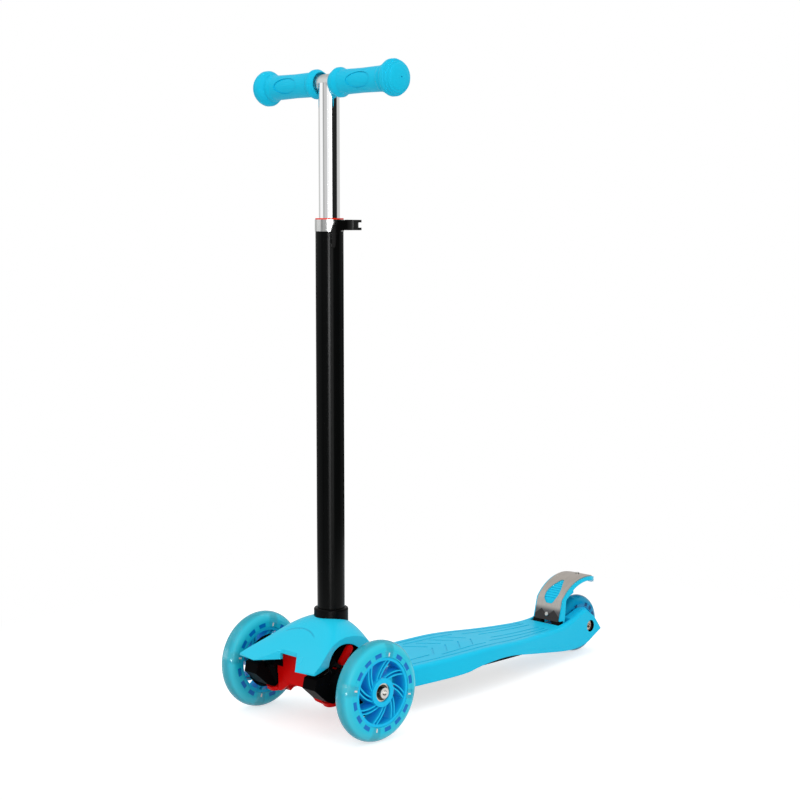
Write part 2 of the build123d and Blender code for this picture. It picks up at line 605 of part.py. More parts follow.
def truck_body():
    """The red casting that carries column, kingpins and deck."""
    block = across(outline(
        (TRUCK_FRONT, TRUCK_FLOOR), (TRUCK_FRONT, TRUCK_FRONT_TOP), (-12, TRUCK_FRONT_TOP),
        (-12, TRUCK_TOP), (TRUCK_REAR, TRUCK_TOP), (TRUCK_REAR, TONGUE_TOP - TONGUE_THICKNESS),
        (40, TONGUE_TOP - TONGUE_THICKNESS), (20, TRUCK_FLOOR)), -TRUCK_HALF, TRUCK_HALF)
    waist = []
    for side in (-1, 1):
        face = Plane.XZ.offset(-TRUCK_FRONT - 31) * outline(
            (side * 37, TRUCK_FLOOR - 1), (side * 37, 61), (side * 23, 55),
            (side * 16.5, TRUCK_FLOOR - 1))
        waist.append(extrude(face, 40, both=True))
    block -= waist
    tongue_root = TRUCK_REAR - 2
    tongue = Pos(0, (tongue_root + TONGUE_END) / 2, TONGUE_TOP - TONGUE_THICKNESS / 2) * Box(
        2 * TONGUE_HALF, TONGUE_END - tongue_root, TONGUE_THICKNESS)
    lower_face = Circle(LOWER_EAR_R) + Pos(-14, 4) * Rectangle(28, 2 * LOWER_EAR_R - 8)
    upper_face = Circle(UPPER_EAR_R) + Pos(-10, 6.5) * Rectangle(20, 32)
    lower_ear = on_pin(lower_face, BARREL_BOTTOM - LOWER_EAR, BARREL_BOTTOM)
    upper_ear = on_pin(upper_face, BARREL_TOP, BARREL_TOP + UPPER_EAR)
    leg = extrude(Plane.XZ.offset(-2) * outline(
        (14, TRUCK_FLOOR), (31.5, 39), (56, 36.5), (58, 41), (36, 46), (36, 62), (14, 62)), 32)
    clear_leg = on_pin(Circle(40), BARREL_BOTTOM, 30)
    leg -= clear_leg - Pos(0, 0, 60) * Box(2 * TRUCK_HALF, 200, 200)
    left = lower_ear + upper_ear + leg + brace()
    right = mirror(left, about=Plane.YZ)
    body = block + tongue + left + right
    rod_bore = bar(TIE_ROD_R + 1.3, (-60, TIE_Y, TIE_Z), (1, 0, 0), 120)
    pocket_half = TIE_STOP_R + 1.5
    pocket = Pos(0, TIE_Y, TIE_Z - pocket_half + 20) * Box(
        2 * SPRING_SEAT_X, 2 * pocket_half, 40)
    body -= rod_bore + pocket
    body -= bar(SOCKET_R, (0, COLUMN_Y, SOCKET_BASE), (0, 0, 1), 60)
    for side in (-1, 1):
        room = on_pin(Circle(BARREL_R + MOVING), BARREL_BOTTOM, BARREL_TOP)
        pin_hole = on_pin(Circle(KINGPIN_R), -40, 40)
        head_seat = on_pin(Circle(KINGPIN_HEAD_R), BARREL_TOP + UPPER_EAR - KINGPIN_HEAD, 40)
        nut_room = on_pin(Circle(KINGPIN_NUT_R + 1), -40, BARREL_BOTTOM - LOWER_EAR)
        cut = room + pin_hole + head_seat + nut_room
        body -= cut if side > 0 else mirror(cut, about=Plane.YZ)
        screw_x = side * COVER_SCREW_X
        body -= bar(COVER_SCREW_R, (screw_x, COVER_SCREW_Y, 40), (0, 0, 1), 80)
        body -= bar(4, (screw_x, COVER_SCREW_Y, 40), (0, 0, 1), COVER_SCREW_SEAT - 40)
    for x, y in TONGUE_SCREWS:
        body -= bar(TONGUE_SCREW_R, (x, y, 30), (0, 0, 1), 20)
    return body


def tongue_screw(x, y):
    low = TONGUE_TOP - TONGUE_THICKNESS
    shank = bar(TONGUE_SCREW_R, (x, y, low), (0, 0, 1), TONGUE_SCREW_LENGTH)
    return shank + bar(TONGUE_SCREW_HEAD_R, (x, y, low), (0, 0, -1), TONGUE_SCREW_HEAD)


# ---------------------------------------------------------------- cover over the truck
def cover_station(x, drop):
    """The cover's lengthwise section at one distance from the middle."""
    share = (x / COVER_SIDE_X) ** 2
    crown = []
    for middle, side in zip(COVER_CENTRE, COVER_SIDE):
        y = middle[0] + (side[0] - middle[0]) * share
        z = middle[1] + (side[1] - middle[1]) * share
        crown.append((y, z - drop))
    base = 40
    face = make_face([
        Spline(*crown),
        Line(crown[-1], (crown[-1][0], base)),
        Line((crown[-1][0], base), (crown[0][0], base)),
        Line((crown[0][0], base), crown[0]),
    ])
    return Plane.YZ.offset(x) * face


def cover_loft(drop):
    stations = [-72, -60, -45, -30, -15, 0, 15, 30, 45, 60, 72]
    return loft([cover_station(x, drop) for x in stations])


def cover_plan(inset):
    """The cover seen from above: two lobes in front, a waist at the wheels, a rounded tail."""
    edge = [(COVER_TIP_X, -64), (60, -42), (52, -22), (50, 5), (50, 40), (46, 62)]
    right = [(x - inset, y) for x, y in edge] + [(36, 80 - inset)]
    left = [(-x, y) for x, y in reversed(right)]
    back = NOTCH_Y + inset
    back_x = NOTCH_BACK_HALF + 0.4 * inset
    front = inset - NOSE_REACH
    front_x = NOTCH_FRONT_HALF + 0.4 * inset
    return make_face([
        Polyline((0, back), (back_x, back), (front_x, front), right[0]),
        Spline(*right),
        Line(right[-1], left[0]),
        Spline(*left),
        Polyline(left[-1], (-front_x, front), (-back_x, back), (0, back)),
    ])


def truck_cover():
    outer = cover_loft(0) & upright(cover_plan(0), 30, 160)
    inner = cover_loft(COVER_WALL) & upright(cover_plan(COVER_WALL), 20, 160)
    shell = outer - inner
    seat = DECK_TOP - COVER_LAP
    below = across(outline((-80, 30), (-80, 81.7), (-31, 84), (33, 84), (33, seat), (100, seat),
                           (100, 30)), -90, 90)
    shell -= below
    shell -= Pos(0, NOTCH_Y, 80) * Box(2 * NOTCH_BACK_HALF + 4, 8, 21)
    for side in (-1, 1):
        arch = bar(COVER_ARCH_R, (side * 38, COVER_ARCH_Y, COVER_ARCH_Z), (side, 0, 0), 40)
        shell -= arch
    shell -= bar(SOCKET_R, (0, COLUMN_Y, 90), (0, 0, 1), 60)
    for side in (-1, 1):
        place = (side * COVER_SCREW_X, COVER_SCREW_Y, TRUCK_FRONT_TOP)
        boss = bar(4, place, (0, 0, 1), 20) & outer
        shell += boss - bar(COVER_SCREW_R, place, (0, 0, 1), COVER_SCREW_GRIP)
    return shell


def cover_screw(side):
    """A long screw that comes up through the truck into a boss of the cover."""
    start = (side * COVER_SCREW_X, COVER_SCREW_Y, COVER_SCREW_SEAT)
    length = TRUCK_FRONT_TOP + COVER_SCREW_GRIP - COVER_SCREW_SEAT
    return bar(COVER_SCREW_R, start, (0, 0, 1), length) + bar(3.5, start, (0, 0, -1), 3)


# ---------------------------------------------------------------- column
def column_socket():
    """The black socket that holds the column, with a rounded lip."""
    body = bar(SOCKET_R, (0, COLUMN_Y, SOCKET_BASE), (0, 0, 1), SOCKET_TOP - SOCKET_BASE)
    lip = body.edges().filter_by(GeomType.CIRCLE).sort_by(Axis.Z)[-1]
    body = fillet(lip, 2.5)
    body += bar(SOCKET_FLANGE_R, (0, COLUMN_Y, TRUCK_TOP), (0, 0, 1), SOCKET_FLANGE)
    body -= bar(COLUMN_R, (0, COLUMN_Y, SOCKET_FLOOR), (0, 0, 1), 100)
    body -= bar(BUTTON_R + RUNNING, (0, COLUMN_Y, BUTTON_Z), (0, 1, 0), 40)
    for angle in (45, 135):
        x, y = polar(SOCKET_FLANGE_R - 3.2, angle)
        body -= bar(SCREW_R, (x, COLUMN_Y + y, TRUCK_TOP - 1), (0, 0, 1), 20)
    return body


def column_tube():
    tube = bar(COLUMN_R, (0, COLUMN_Y, SOCKET_FLOOR), (0, 0, 1), COLUMN_TOP - SOCKET_FLOOR,
               COLUMN_R - COLUMN_WALL)
    return tube - bar(BUTTON_R + RUNNING, (0, COLUMN_Y, BUTTON_Z), (0, 1, 0), 40)


def column_sleeve():
    """The plastic sleeve that the stem slides in; its flange shows above the clamp."""
    outer_r = COLUMN_R - COLUMN_WALL
    inner_r = STEM_R + RUNNING
    top = COLUMN_TOP + CLAMP_HEIGHT
    sleeve = bar(outer_r, (0, COLUMN_Y, top - SLEEVE_LENGTH), (0, 0, 1), SLEEVE_LENGTH, inner_r)
    flange = bar(COLUMN_R, (0, COLUMN_Y, top), (0, 0, 1), SLEEVE_FLANGE, inner_r)
    return sleeve + flange


def snap_button():
    length = SOCKET_R + BUTTON_PROUD - BUTTON_INNER
    stem = bar(BUTTON_R, (0, COLUMN_Y + BUTTON_INNER, BUTTON_Z), (0, 1, 0), length)
    tip = stem.edges().filter_by(GeomType.CIRCLE).sort_by(Axis.Y)[-1]
    stem = fillet(tip, 1.5)
    flange = bar(BUTTON_FLANGE_R, (0, COLUMN_Y + BUTTON_INNER, BUTTON_Z), (0, 1, 0), BUTTON_FLANGE)
    return stem + flange


def snap_spring():
    """The folded leaf spring inside the tube that pushes the button out."""
    wall = -(COLUMN_R - COLUMN_WALL) + 0.6
    face = outline(
        (wall, 132), (wall, 86), (wall + 2, 84), (BUTTON_INNER, 121), (BUTTON_INNER, 134),
        (BUTTON_INNER - 0.8, 134), (BUTTON_INNER - 0.8, 121.3), (wall + 2, 85.6),
        (wall + 0.8, 86.6), (wall + 0.8, 132))
    return Pos(0, COLUMN_Y, 0) * across(face, -4, 4)


# ---------------------------------------------------------------- clamp, drawn with its bolt on X
CLAMP_PLACE = Pos(0, COLUMN_Y, 0) * Rot(0, 0, CLAMP_TURN)
CLAMP_MID = COLUMN_TOP + CLAMP_HEIGHT / 2 + 0.5


def clamp_collar():
    ring = bar(CLAMP_R, (0, 0, COLUMN_TOP), (0, 0, 1), CLAMP_HEIGHT)
    lugs = Pos(0, 20.5, CLAMP_MID) * Box(2 * CLAMP_LUG - 4, 13, CLAMP_HEIGHT - 3)
    collar = ring + lugs
    collar -= bar(COLUMN_R - COLUMN_WALL, (0, 0, COLUMN_TOP - 1), (0, 0, 1), CLAMP_HEIGHT + 2)
    collar -= Pos(0, 21, CLAMP_MID) * Box(CLAMP_SLOT, 20, 2 * CLAMP_HEIGHT)
    return collar - bar(CLAMP_BOLT_R, (-40, CLAMP_BOLT_OFFSET, CLAMP_MID), (1, 0, 0), 80)


def clamp_bolt():
    lug_face = CLAMP_LUG - 2
    shank = bar(CLAMP_BOLT_R, (-lug_face, CLAMP_BOLT_OFFSET, CLAMP_MID), (1, 0, 0),
                lug_face + LEVER_PIVOT)
    head = bar(3.8, (-lug_face - 4, CLAMP_BOLT_OFFSET, CLAMP_MID), (1, 0, 0), 4)
    return shank + head


def clamp_washer():
    start = CLAMP_LUG - 2
    return bar(6, (start, CLAMP_BOLT_OFFSET, CLAMP_MID), (1, 0, 0), CLAMP_WASHER_END - start,
               CLAMP_BOLT_R)


def lever_barrel():
    low = CLAMP_MID - LEVER_HEIGHT / 2
    body = bar(LEVER_BARREL_R, (LEVER_PIVOT, CLAMP_BOLT_OFFSET, low), (0, 0, 1), LEVER_HEIGHT)
    return body - clamp_bolt()


def clamp_lever():
    """The quick-release lever: a forked eye round the barrel and a handle that wraps the column."""
    low = CLAMP_MID - LEVER_HEIGHT / 2
    high = CLAMP_MID + LEVER_HEIGHT / 2
    outer_r = LEVER_BAND_R + LEVER_BAND
    mid_r = LEVER_BAND_R + LEVER_BAND / 2
    band_end = polar(mid_r, 12)
    band = Circle(outer_r) - Circle(LEVER_BAND_R)
    wedge = outline((0, 0), polar(60, 12), polar(60, -35), polar(60, -82))
    eye = Pos(LEVER_PIVOT, CLAMP_BOLT_OFFSET) * Circle(LEVER_EYE_R)
    strap = outline(
        (band_end[0] - 3, band_end[1] - 1), (band_end[0] + 3, band_end[1] - 1),
        (LEVER_PIVOT + LEVER_EYE_R, CLAMP_BOLT_OFFSET), (LEVER_PIVOT, CLAMP_BOLT_OFFSET))
    plan = (band & wedge) + eye + strap
    tip = high - LEVER_DROP
    shape = make_face([
        Line((45, high), (20, high)),
        ThreePointArc((20, high), (7.5, high - 7.5), (2.5, high - 20)),
        Line((2.5, high - 20), (2.5, tip + 3)),
        ThreePointArc((2.5, tip + 3), (5, tip), (8.5, tip + 3)),
        Line((8.5, tip + 3), (9.5, high - 22)),
        ThreePointArc((9.5, high - 22), (13, low + 2 - 4), (20, low)),
        Line((20, low), (45, low)),
        Line((45, low), (45, high)),
    ])
    side_view = extrude(Plane.XZ * shape, 60, both=True)
    lever = upright(plan, tip - 5, high) & side_view
    fork = Pos(LEVER_PIVOT, CLAMP_BOLT_OFFSET, CLAMP_MID) * Box(
        2 * LEVER_EYE_R + 8, 2 * LEVER_EYE_R + 3, LEVER_FORK_GAP)
    lever -= fork
    return lever - bar(LEVER_BARREL_R + RUNNING, (LEVER_PIVOT, CLAMP_BOLT_OFFSET, 0), (0, 0, 1), 900)


def save_clamp():
    save("clamp_collar", CLAMP_PLACE * clamp_collar())
    save("clamp_bolt", CLAMP_PLACE * clamp_bolt())
    save("clamp_washer", CLAMP_PLACE * clamp_washer())
    save("lever_barrel", CLAMP_PLACE * lever_barrel())
    save("clamp_lever", CLAMP_PLACE * clamp_lever())


def save_column():
    save("column_socket", column_socket())
    screws = []
    for angle in (45, 135):
        x, y = polar(SOCKET_FLANGE_R - 3.2, angle)
        top = TRUCK_TOP + SOCKET_FLANGE
        screw = bar(SCREW_R, (x, COLUMN_Y + y, TRUCK_TOP), (0, 0, 1), SOCKET_FLANGE)
        screws.append(screw + bar(SCREW_HEAD_R, (x, COLUMN_Y + y, top), (0, 0, 1), SCREW_HEAD))
    save("socket_screws", *screws)
    save("column_tube", column_tube())
    save("column_sleeve", column_sleeve())
    save("snap_button", snap_button())
    save("snap_spring", snap_spring())


# ---------------------------------------------------------------- handlebar
def handlebar_stem():
    tube = bar(STEM_R, (0, COLUMN_Y, STEM_BOTTOM), (0, 0, 1), BAR_Z - STEM_BOTTOM,
               STEM_R - STEM_WALL)
    return tube - bar(BAR_R, (-60, COLUMN_Y, BAR_Z), (1, 0, 0), 120)


def stem_plug():
    """The plastic plug that closes and guides the stem's lower end."""
    head = bar(COLUMN_R - COLUMN_WALL - MOVING, (0, COLUMN_Y, STEM_BOTTOM - 8), (0, 0, 1), 8)
    spigot = bar(STEM_R - STEM_WALL, (0, COLUMN_Y, STEM_BOTTOM), (0, 0, 1), 15)
    return head + spigot


def crossbar():
    length = 2 * (GRIP_END - GRIP_CAP)
    return bar(BAR_R, (-length / 2, COLUMN_Y, BAR_Z), (1, 0, 0), length, BAR_R - BAR_WALL)


def grip():
    """A rubber grip with a flared mouth, a thumb recess and a stepped, domed end."""
    end = GRIP_END
    start = GRIP_START
    body = turned(
        (start, BAR_R + 2.5), (start, GRIP_MOUTH_R - 3), (start + 6, GRIP_MOUTH_R),
        (start + 9, GRIP_MOUTH_R), (start + 14, GRIP_R), (start + 45, GRIP_R - 0.5),
        (end - 30, GRIP_R + 0.2), (end - 26, GRIP_R + 1.6), (end - 22, GRIP_R + 1.2),
        (end - 18, GRIP_FLANGE_R - 1.5), (end - 15, GRIP_FLANGE_R), (end - 11, GRIP_FLANGE_R),
        (end - 10, GRIP_FLANGE_R - 1.4), (end - 7.5, GRIP_FLANGE_R - 1.4),
        (end - 6.8, GRIP_FLANGE_R - 2.8), (end - 4.6, GRIP_FLANGE_R - 3.2),
        (end - 4, GRIP_FLANGE_R - 5), (end - 2.2, GRIP_FLANGE_R - 6.5), (end - 0.8, 10.5),
        (end - 0.2, 6), (end, 0), (end - GRIP_CAP, 0), (end - GRIP_CAP, BAR_R),
        (start + 6, BAR_R), (start + 3, BAR_R + 2.5))
    floor_r = GRIP_R - 1.2
    outside_r = GRIP_R + 15
    recess_ring = turned((start, floor_r), (start, outside_r), (end, outside_r), (end, floor_r))
    pad = extrude(Plane.XZ * (Pos((start + end) / 2 - 4, 0) * Ellipse(20, 9)), outside_r)
    body -= recess_ring & pad
    body -= bar(1, (end - 2, 0, 0), (1, 0, 0), 4)
    return Pos(0, COLUMN_Y, BAR_Z) * body


def save_handlebar():
    save("handlebar_stem", handlebar_stem())
    save("stem_plug", stem_plug())
    save("handlebar_crossbar", crossbar())
    save_pair("grip", grip())


# ---------------------------------------------------------------- deck
def deck_y(share):
    """The place at a share of the way from the deck's front to the rear axle."""
    return DECK_FRONT + share * (WHEELBASE - DECK_FRONT)


def tail(places):
    """Points of the tail, from where they lie to the rear axle."""
    return [(WHEELBASE + y, REAR_AXLE_Z + z) for y, z in places]


def deck_plan(inset):
    right = [(half - inset, deck_y(share)) for share, half in DECK_SIDE]
    right.append((TAIL_HALF - inset, TAIL_Y))
    left = [(-x, y) for x, y in reversed(right)]
    return make_face([
        Spline(*right),
        Line(right[-1], left[0]),
        Spline(*left),
        Line(left[-1], right[0]),
    ])


def deck_profile():
    """The deck seen from the side, with the raised arms and the arched underside."""
    front_top = (DECK_FRONT, DECK_TOP)
    front_bottom = (DECK_FRONT, DECK_BOTTOM)
    level_end = (deck_y(DECK_DIP_START), DECK_TOP)
    dip = [(deck_y(share), z) for share, z in DECK_DIP]
    arch = [(deck_y(share), z) for share, z in DECK_ARCH]
    arch_end = (deck_y(DECK_ARCH_END[0]), DECK_ARCH_END[1])
    rise = tail(TAIL_RISE)
    end = tail(TAIL_END)
    return make_face([
        Line(front_top, level_end),
        Spline(level_end, *dip, *rise, tangents=[(1, 0), (1, 0.15)]),
        Polyline(rise[-1], *end),
        Spline(end[-1], *tail(TAIL_UNDER), *arch, arch_end, tangents=[(-1, -0.35), (-1, 0)]),
        Polyline(arch_end, front_bottom, front_top),
    ])


def groove(x, start, end, turn=0.0):
    """A straight groove of the tread between two shares of the deck's length."""
    length = deck_y(end) - deck_y(start)
    middle = deck_y((start + end) / 2)
    return Pos(x, middle) * Rot(0, 0, 90 + turn) * SlotOverall(length, PATTERN_WIDTH)


def deck_pattern():
    """The tread's grooves: two long lines along the sides, with bars and chevrons between."""
    band = deck_plan(PATTERN_INSET) - deck_plan(PATTERN_INSET + PATTERN_WIDTH)
    reach = deck_y(0.8) - deck_y(0.1)
    band &= Pos(0, deck_y(0.45)) * Rectangle(200, reach)
    lines = [band]
    for side in (-1, 1):
        lines.append(groove(side * 26, 0.1, 0.27))
        lines.append(groove(side * 13, 0.1, 0.2))
        for index in range(4):
            start = 0.27 + 0.055 * index
            lines.append(groove(side * 16, start, start + 0.075, side * 48))
        lines.append(groove(side * 33, 0.3, 0.5, side * 3))
        lines.append(groove(side * 22, 0.53, 0.8, side * 3))
        lines.append(groove(side * 10, 0.57, 0.8, side * 1.5))
    pattern = lines[0]
    for line in lines[1:]:
        pattern += line
    return pattern


def deck_cavity():
    """The hollow under the deck, with its ribs left standing."""
    floor = -5
    high = DECK_TOP - DECK_CEILING
    level_end = (deck_y(DECK_DIP_START), high)
    dip = [(deck_y(share), z - DECK_CEILING) for share, z in DECK_DIP]
    back_top = (CAVITY_END, DECK_DIP[-1][1] - DECK_CEILING + 0.5)
    cavity = across(make_face([
        Polyline((CAVITY_START, floor), (CAVITY_START, high), level_end),
        Spline(level_end, *dip, back_top, tangents=[(1, 0), (1, 0)]),
        Polyline(back_top, (CAVITY_END, floor), (CAVITY_START, floor)),
    ]), -80, 80) & upright(deck_plan(DECK_WALL), 0, 80)
    length = CAVITY_END - CAVITY_START
    depth = 2 * (high - RIB_BOTTOM)
    ribs = []
    for side in (-1, 1):
        ribs.append(Pos(side * RIB_X, CAVITY_START + length / 2, high) * Box(
            RIB_THICKNESS, length + 20, depth))
    for index in range(1, int(length / RIB_PITCH) + 1):
        ribs.append(Pos(0, CAVITY_START + index * RIB_PITCH, high) * Box(
            120, RIB_THICKNESS, depth))
    return cavity - ribs


def deck_board():
    blank = across(deck_profile(), -80, 80) & upright(deck_plan(0), 0, 80)
    soft = [edge for edge in blank.edges()
            if edge.length > 60 and edge.center().Z > 40 and abs(edge.center().X) > 20]
    skin = fillet(soft, DECK_EDGE_R)
    board = skin - deck_cavity()
    under_grooves = across(deck_profile(), -80, 80).moved(Pos(0, 0, -PATTERN_DEPTH))
    board -= upright(deck_pattern(), DECK_TOP - 12, DECK_TOP + 1) - under_grooves
    board -= upright(cover_plan(-MOVING), DECK_TOP - COVER_LAP, DECK_TOP + 1)
    board -= Pos(0, (DECK_FRONT + TONGUE_END) / 2, TONGUE_TOP - 20) * Box(
        2 * TONGUE_HALF, TONGUE_END - DECK_FRONT, 40)
    slot_length = TAIL_Y + 10 - WHEEL_SLOT_START
    board -= Pos(0, WHEEL_SLOT_START + slot_length / 2, REAR_AXLE_Z) * Box(
        2 * WHEEL_SLOT_HALF, slot_length, 100)
    slot_mid = (BRAKE_SLOT_START + BRAKE_SLOT_END) / 2
    board -= Pos(0, slot_mid, BRAKE_SLOT_FLOOR + 30) * Box(
        2 * BRAKE_SLOT_HALF, BRAKE_SLOT_END - BRAKE_SLOT_START, 60)
    board -= bar(AXLE_R, (-60, WHEELBASE, REAR_AXLE_Z), (1, 0, 0), 120)
    for side in (-1, 1):
        board -= bar(REAR_RECESS_R, (side * HEAD_SEAT_X, WHEELBASE, REAR_AXLE_Z),
                     (side, 0, 0), 20)
    board -= brake_pin()
    for x, y in TONGUE_SCREWS:
        board -= bar(TONGUE_SCREW_R, (x, y, TONGUE_TOP - TONGUE_THICKNESS), (0, 0, 1),
                     TONGUE_SCREW_LENGTH)
    for x, y in PLATE_SCREWS:
        board -= bar(SCREW_R, (x, y, 20), (0, 0, 1), PLATE_SCREW_TOP - 20)
    return board


def bottom_plate():
    plate = Pos(0, (PLATE_START + PLATE_END) / 2, RIB_BOTTOM - PLATE_THICKNESS / 2) * Box(
        2 * PLATE_HALF, PLATE_END - PLATE_START, PLATE_THICKNESS)
    inside = upright(deck_plan(DECK_WALL + MOVING), 0, 80)
    plate = plate & inside
    for x, y in PLATE_SCREWS:
        plate -= bar(SCREW_R, (x, y, 20), (0, 0, 1), PLATE_SCREW_TOP - 20)
    return plate


def plate_screw(x, y):
    low = RIB_BOTTOM - PLATE_THICKNESS
    shank = bar(SCREW_R, (x, y, low), (0, 0, 1), PLATE_SCREW_TOP - low)
    return shank + bar(SCREW_HEAD_R, (x, y, low), (0, 0, -1), SCREW_HEAD)


def rear_wheel_pieces():
    tyre, hub, lights, bearings = wheel(REAR_WHEEL_D, REAR_RIM_R, REAR_BOSS_R,
                                        REAR_WINDOW_LENGTH)
    place = Pos(0, WHEELBASE, REAR_AXLE_Z)
    save("rear_tyre", place * tyre)
    save("rear_hub", place * hub)
    save("rear_lights", *[place * light for light in lights])
    save("rear_bearings", *[place * ring for ring in bearings])
    save("rear_magnet", place * magnet_core())
    spacers = []
    for side in (-1, 1):
        start = side * (BEARING_FACE + END_GAP)
        length = WHEEL_SLOT_HALF - BEARING_FACE - END_GAP
        spacers.append(place * bar(INNER_RACE_R, (start, 0, 0), (side, 0, 0), length, AXLE_R))
    save("rear_spacers", *spacers)
    bolt = bar(AXLE_R, (-HEAD_SEAT_X - AXLE_HEAD, 0, 0), (1, 0, 0), 2 * HEAD_SEAT_X + AXLE_HEAD)
    bolt += bar(AXLE_HEAD_R, (HEAD_SEAT_X, 0, 0), (1, 0, 0), AXLE_HEAD)
    bolt -= hexagon(SOCKET_KEY_R, (HEAD_SEAT_X + 1, 0, 0), (1, 0, 0), AXLE_HEAD)
    save("rear_axle_bolt", place * bolt)
    nut = hexagon(AXLE_HEAD_R, (-HEAD_SEAT_X, 0, 0), (-1, 0, 0), AXLE_HEAD)
    save("rear_axle_nut", place * (nut - bar(AXLE_R, (-60, 0, 0), (1, 0, 0), 120)))


def save_deck():
    save("deck_board", deck_board())
    save("deck_bottom_plate", bottom_plate())
    save("plate_screws", *[plate_screw(x, y) for x, y in PLATE_SCREWS])
    save("truck_body", truck_body())
    save("tongue_screws", *[tongue_screw(x, y) for x, y in TONGUE_SCREWS])
    save("truck_cover", truck_cover())
    save("cover_screws", cover_screw(-1), cover_screw(1))


# ---------------------------------------------------------------- brake
def arc_point(radius, y):
    """The point above the rear axle at one radius and one Y."""
    return (y, BRAKE_CENTRE_Z + sqrt(radius ** 2 - (y - WHEELBASE) ** 2))


def brake_front(z):
    """The point at one height on the straight front of the arm, and the way it faces."""
    foot = Vector(BRAKE_PIVOT_Y - BRAKE_BARREL_R, BRAKE_PIVOT_Z)
    run = Vector(*arc_point(BRAKE_R, BRAKE_KNEE_Y)) - foot
    place = foot + run * ((z - BRAKE_PIVOT_Z) / run.Y)
    return place, Vector(-run.Y, run.X).normalized()


def brake_band(inner_r, outer_r, front, back, back_knee, tip_y):
    """A curved strip over the rear wheel that comes down towards the pivot, seen from the side."""
    knee = arc_point(BRAKE_R, BRAKE_KNEE_Y)
    if outer_r > BRAKE_R:
        knee = Vector(*knee) + brake_front(BRAKE_PIVOT_Z)[1] * (outer_r - BRAKE_R)
    return make_face([
        Line(front, knee),
        ThreePointArc(knee, arc_point(outer_r, BRAKE_MID_Y), arc_point(outer_r, tip_y)),
        Line(arc_point(outer_r, tip_y), arc_point(inner_r, tip_y)),
        ThreePointArc(arc_point(inner_r, tip_y), arc_point(inner_r, BRAKE_MID_Y),
                      arc_point(inner_r, back_knee)),
        Line(arc_point(inner_r, back_knee), back),
        Line(back, front),
    ])


def brake_plan(inset):
    """The brake seen from above: parallel at the base, tapering to a rounded tip."""
    start = BRAKE_SLOT_START - 5
    tip = WHEELBASE + BRAKE_OVERHANG - inset
    half = BRAKE_HALF - inset
    return make_face([
        Polyline((-half, BRAKE_TAPER_Y), (-half, start), (half, start), (half, BRAKE_TAPER_Y)),
        Spline((half, BRAKE_TAPER_Y), (0.72 * half, tip - 14), (0, tip), (-0.72 * half, tip - 14),
               (-half, BRAKE_TAPER_Y), tangents=[(0, 1), (0, -1)]),
    ])


def brake_window(inset):
    """A cutter for the leaf-shaped window, square to the plate where the window is."""
    right = [(half - inset, along * (1 - inset / 20)) for half, along in BRAKE_WINDOW]
    left = [(-x, along) for x, along in reversed(right)]
    face = make_face([
        Spline(*right),
        Line(right[-1], left[0]),
        Spline(*left),
        Line(left[-1], right[0]),
    ])
    out_y, out_z = polar(1, WINDOW_ANGLE)
    plane = Plane(origin=(0, WHEELBASE + out_y * BRAKE_R, BRAKE_CENTRE_Z + out_z * BRAKE_R),
                  x_dir=(-1, 0, 0), z_dir=(0, out_y, out_z))
    return extrude(plane * face, BRAKE_THICKNESS + 5, both=True)


def brake_grooves():
    """Cross grooves that leave grip ribs on the arm where the window shows it."""
    cutter = brake_window(0.8)
    pitch = degrees(BRAKE_RIB_PITCH / BRAKE_R)
    grooves = []
    for index in range(-4, 5):
        angle = WINDOW_ANGLE + pitch * index
        y, z = polar(BRAKE_R, angle)
        place = Pos(0, WHEELBASE + y, BRAKE_CENTRE_Z + z) * Rot(angle, 0, 0)
        grooves.append(place * Box(30, 2 * BRAKE_RIB_DEPTH, BRAKE_RIB_WIDTH) & cutter)
    return grooves


def brake_arm():
    tip = WHEELBASE + BRAKE_OVERHANG
    front = (BRAKE_PIVOT_Y - BRAKE_BARREL_R, BRAKE_PIVOT_Z)
    back = (BRAKE_PIVOT_Y + BRAKE_BARREL_R, BRAKE_PIVOT_Z)
    band = across(brake_band(BRAKE_R - BRAKE_THICKNESS, BRAKE_R, front, back, BRAKE_KNEE_Y + 6,
                             tip), -BRAKE_HALF, BRAKE_HALF)
    band = band & upright(brake_plan(0), 0, 140)
    barrel = bar(BRAKE_BARREL_R, (-BRAKE_HALF, BRAKE_PIVOT_Y, BRAKE_PIVOT_Z), (1, 0, 0),
                 2 * BRAKE_HALF)
    ring = across(Pos(WHEELBASE, BRAKE_CENTRE_Z) * (Circle(BRAKE_R - 2) - Circle(BRAKE_PAD_R)),
                  -BRAKE_PAD_HALF, BRAKE_PAD_HALF)
    pad = ring & Pos(0, (BRAKE_PAD_START + BRAKE_PAD_END) / 2, BRAKE_CENTRE_Z + BRAKE_R) * Box(
        2 * BRAKE_PAD_HALF, BRAKE_PAD_END - BRAKE_PAD_START, 2 * BRAKE_R)
    spring_room = Pos(0, BRAKE_PIVOT_Y, BRAKE_PIVOT_Z) * Box(
        2 * BRAKE_PAD_HALF, 30, 2 * BRAKE_SPRING_ROOM)
    body = band + barrel + pad - spring_room
    body -= bar(BRAKE_PIN_R + RUNNING, (-40, BRAKE_PIVOT_Y, BRAKE_PIVOT_Z), (1, 0, 0), 80)
    for cut in brake_screws() + brake_grooves():
        body -= cut
    return body


def brake_cover_plate():
    tip = WHEELBASE + BRAKE_OVERHANG - BRAKE_PLATE_INSET
    inner, out = brake_front(BRAKE_PLATE_FOOT_Z)
    band = across(brake_band(BRAKE_R, BRAKE_R + BRAKE_PLATE, inner + out * BRAKE_PLATE, inner,
                             BRAKE_KNEE_Y, tip), -BRAKE_HALF, BRAKE_HALF)
    band = band & upright(brake_plan(BRAKE_PLATE_INSET), 0, 140)
    for screw in brake_screws():
        band -= screw
    return band - brake_window(0)


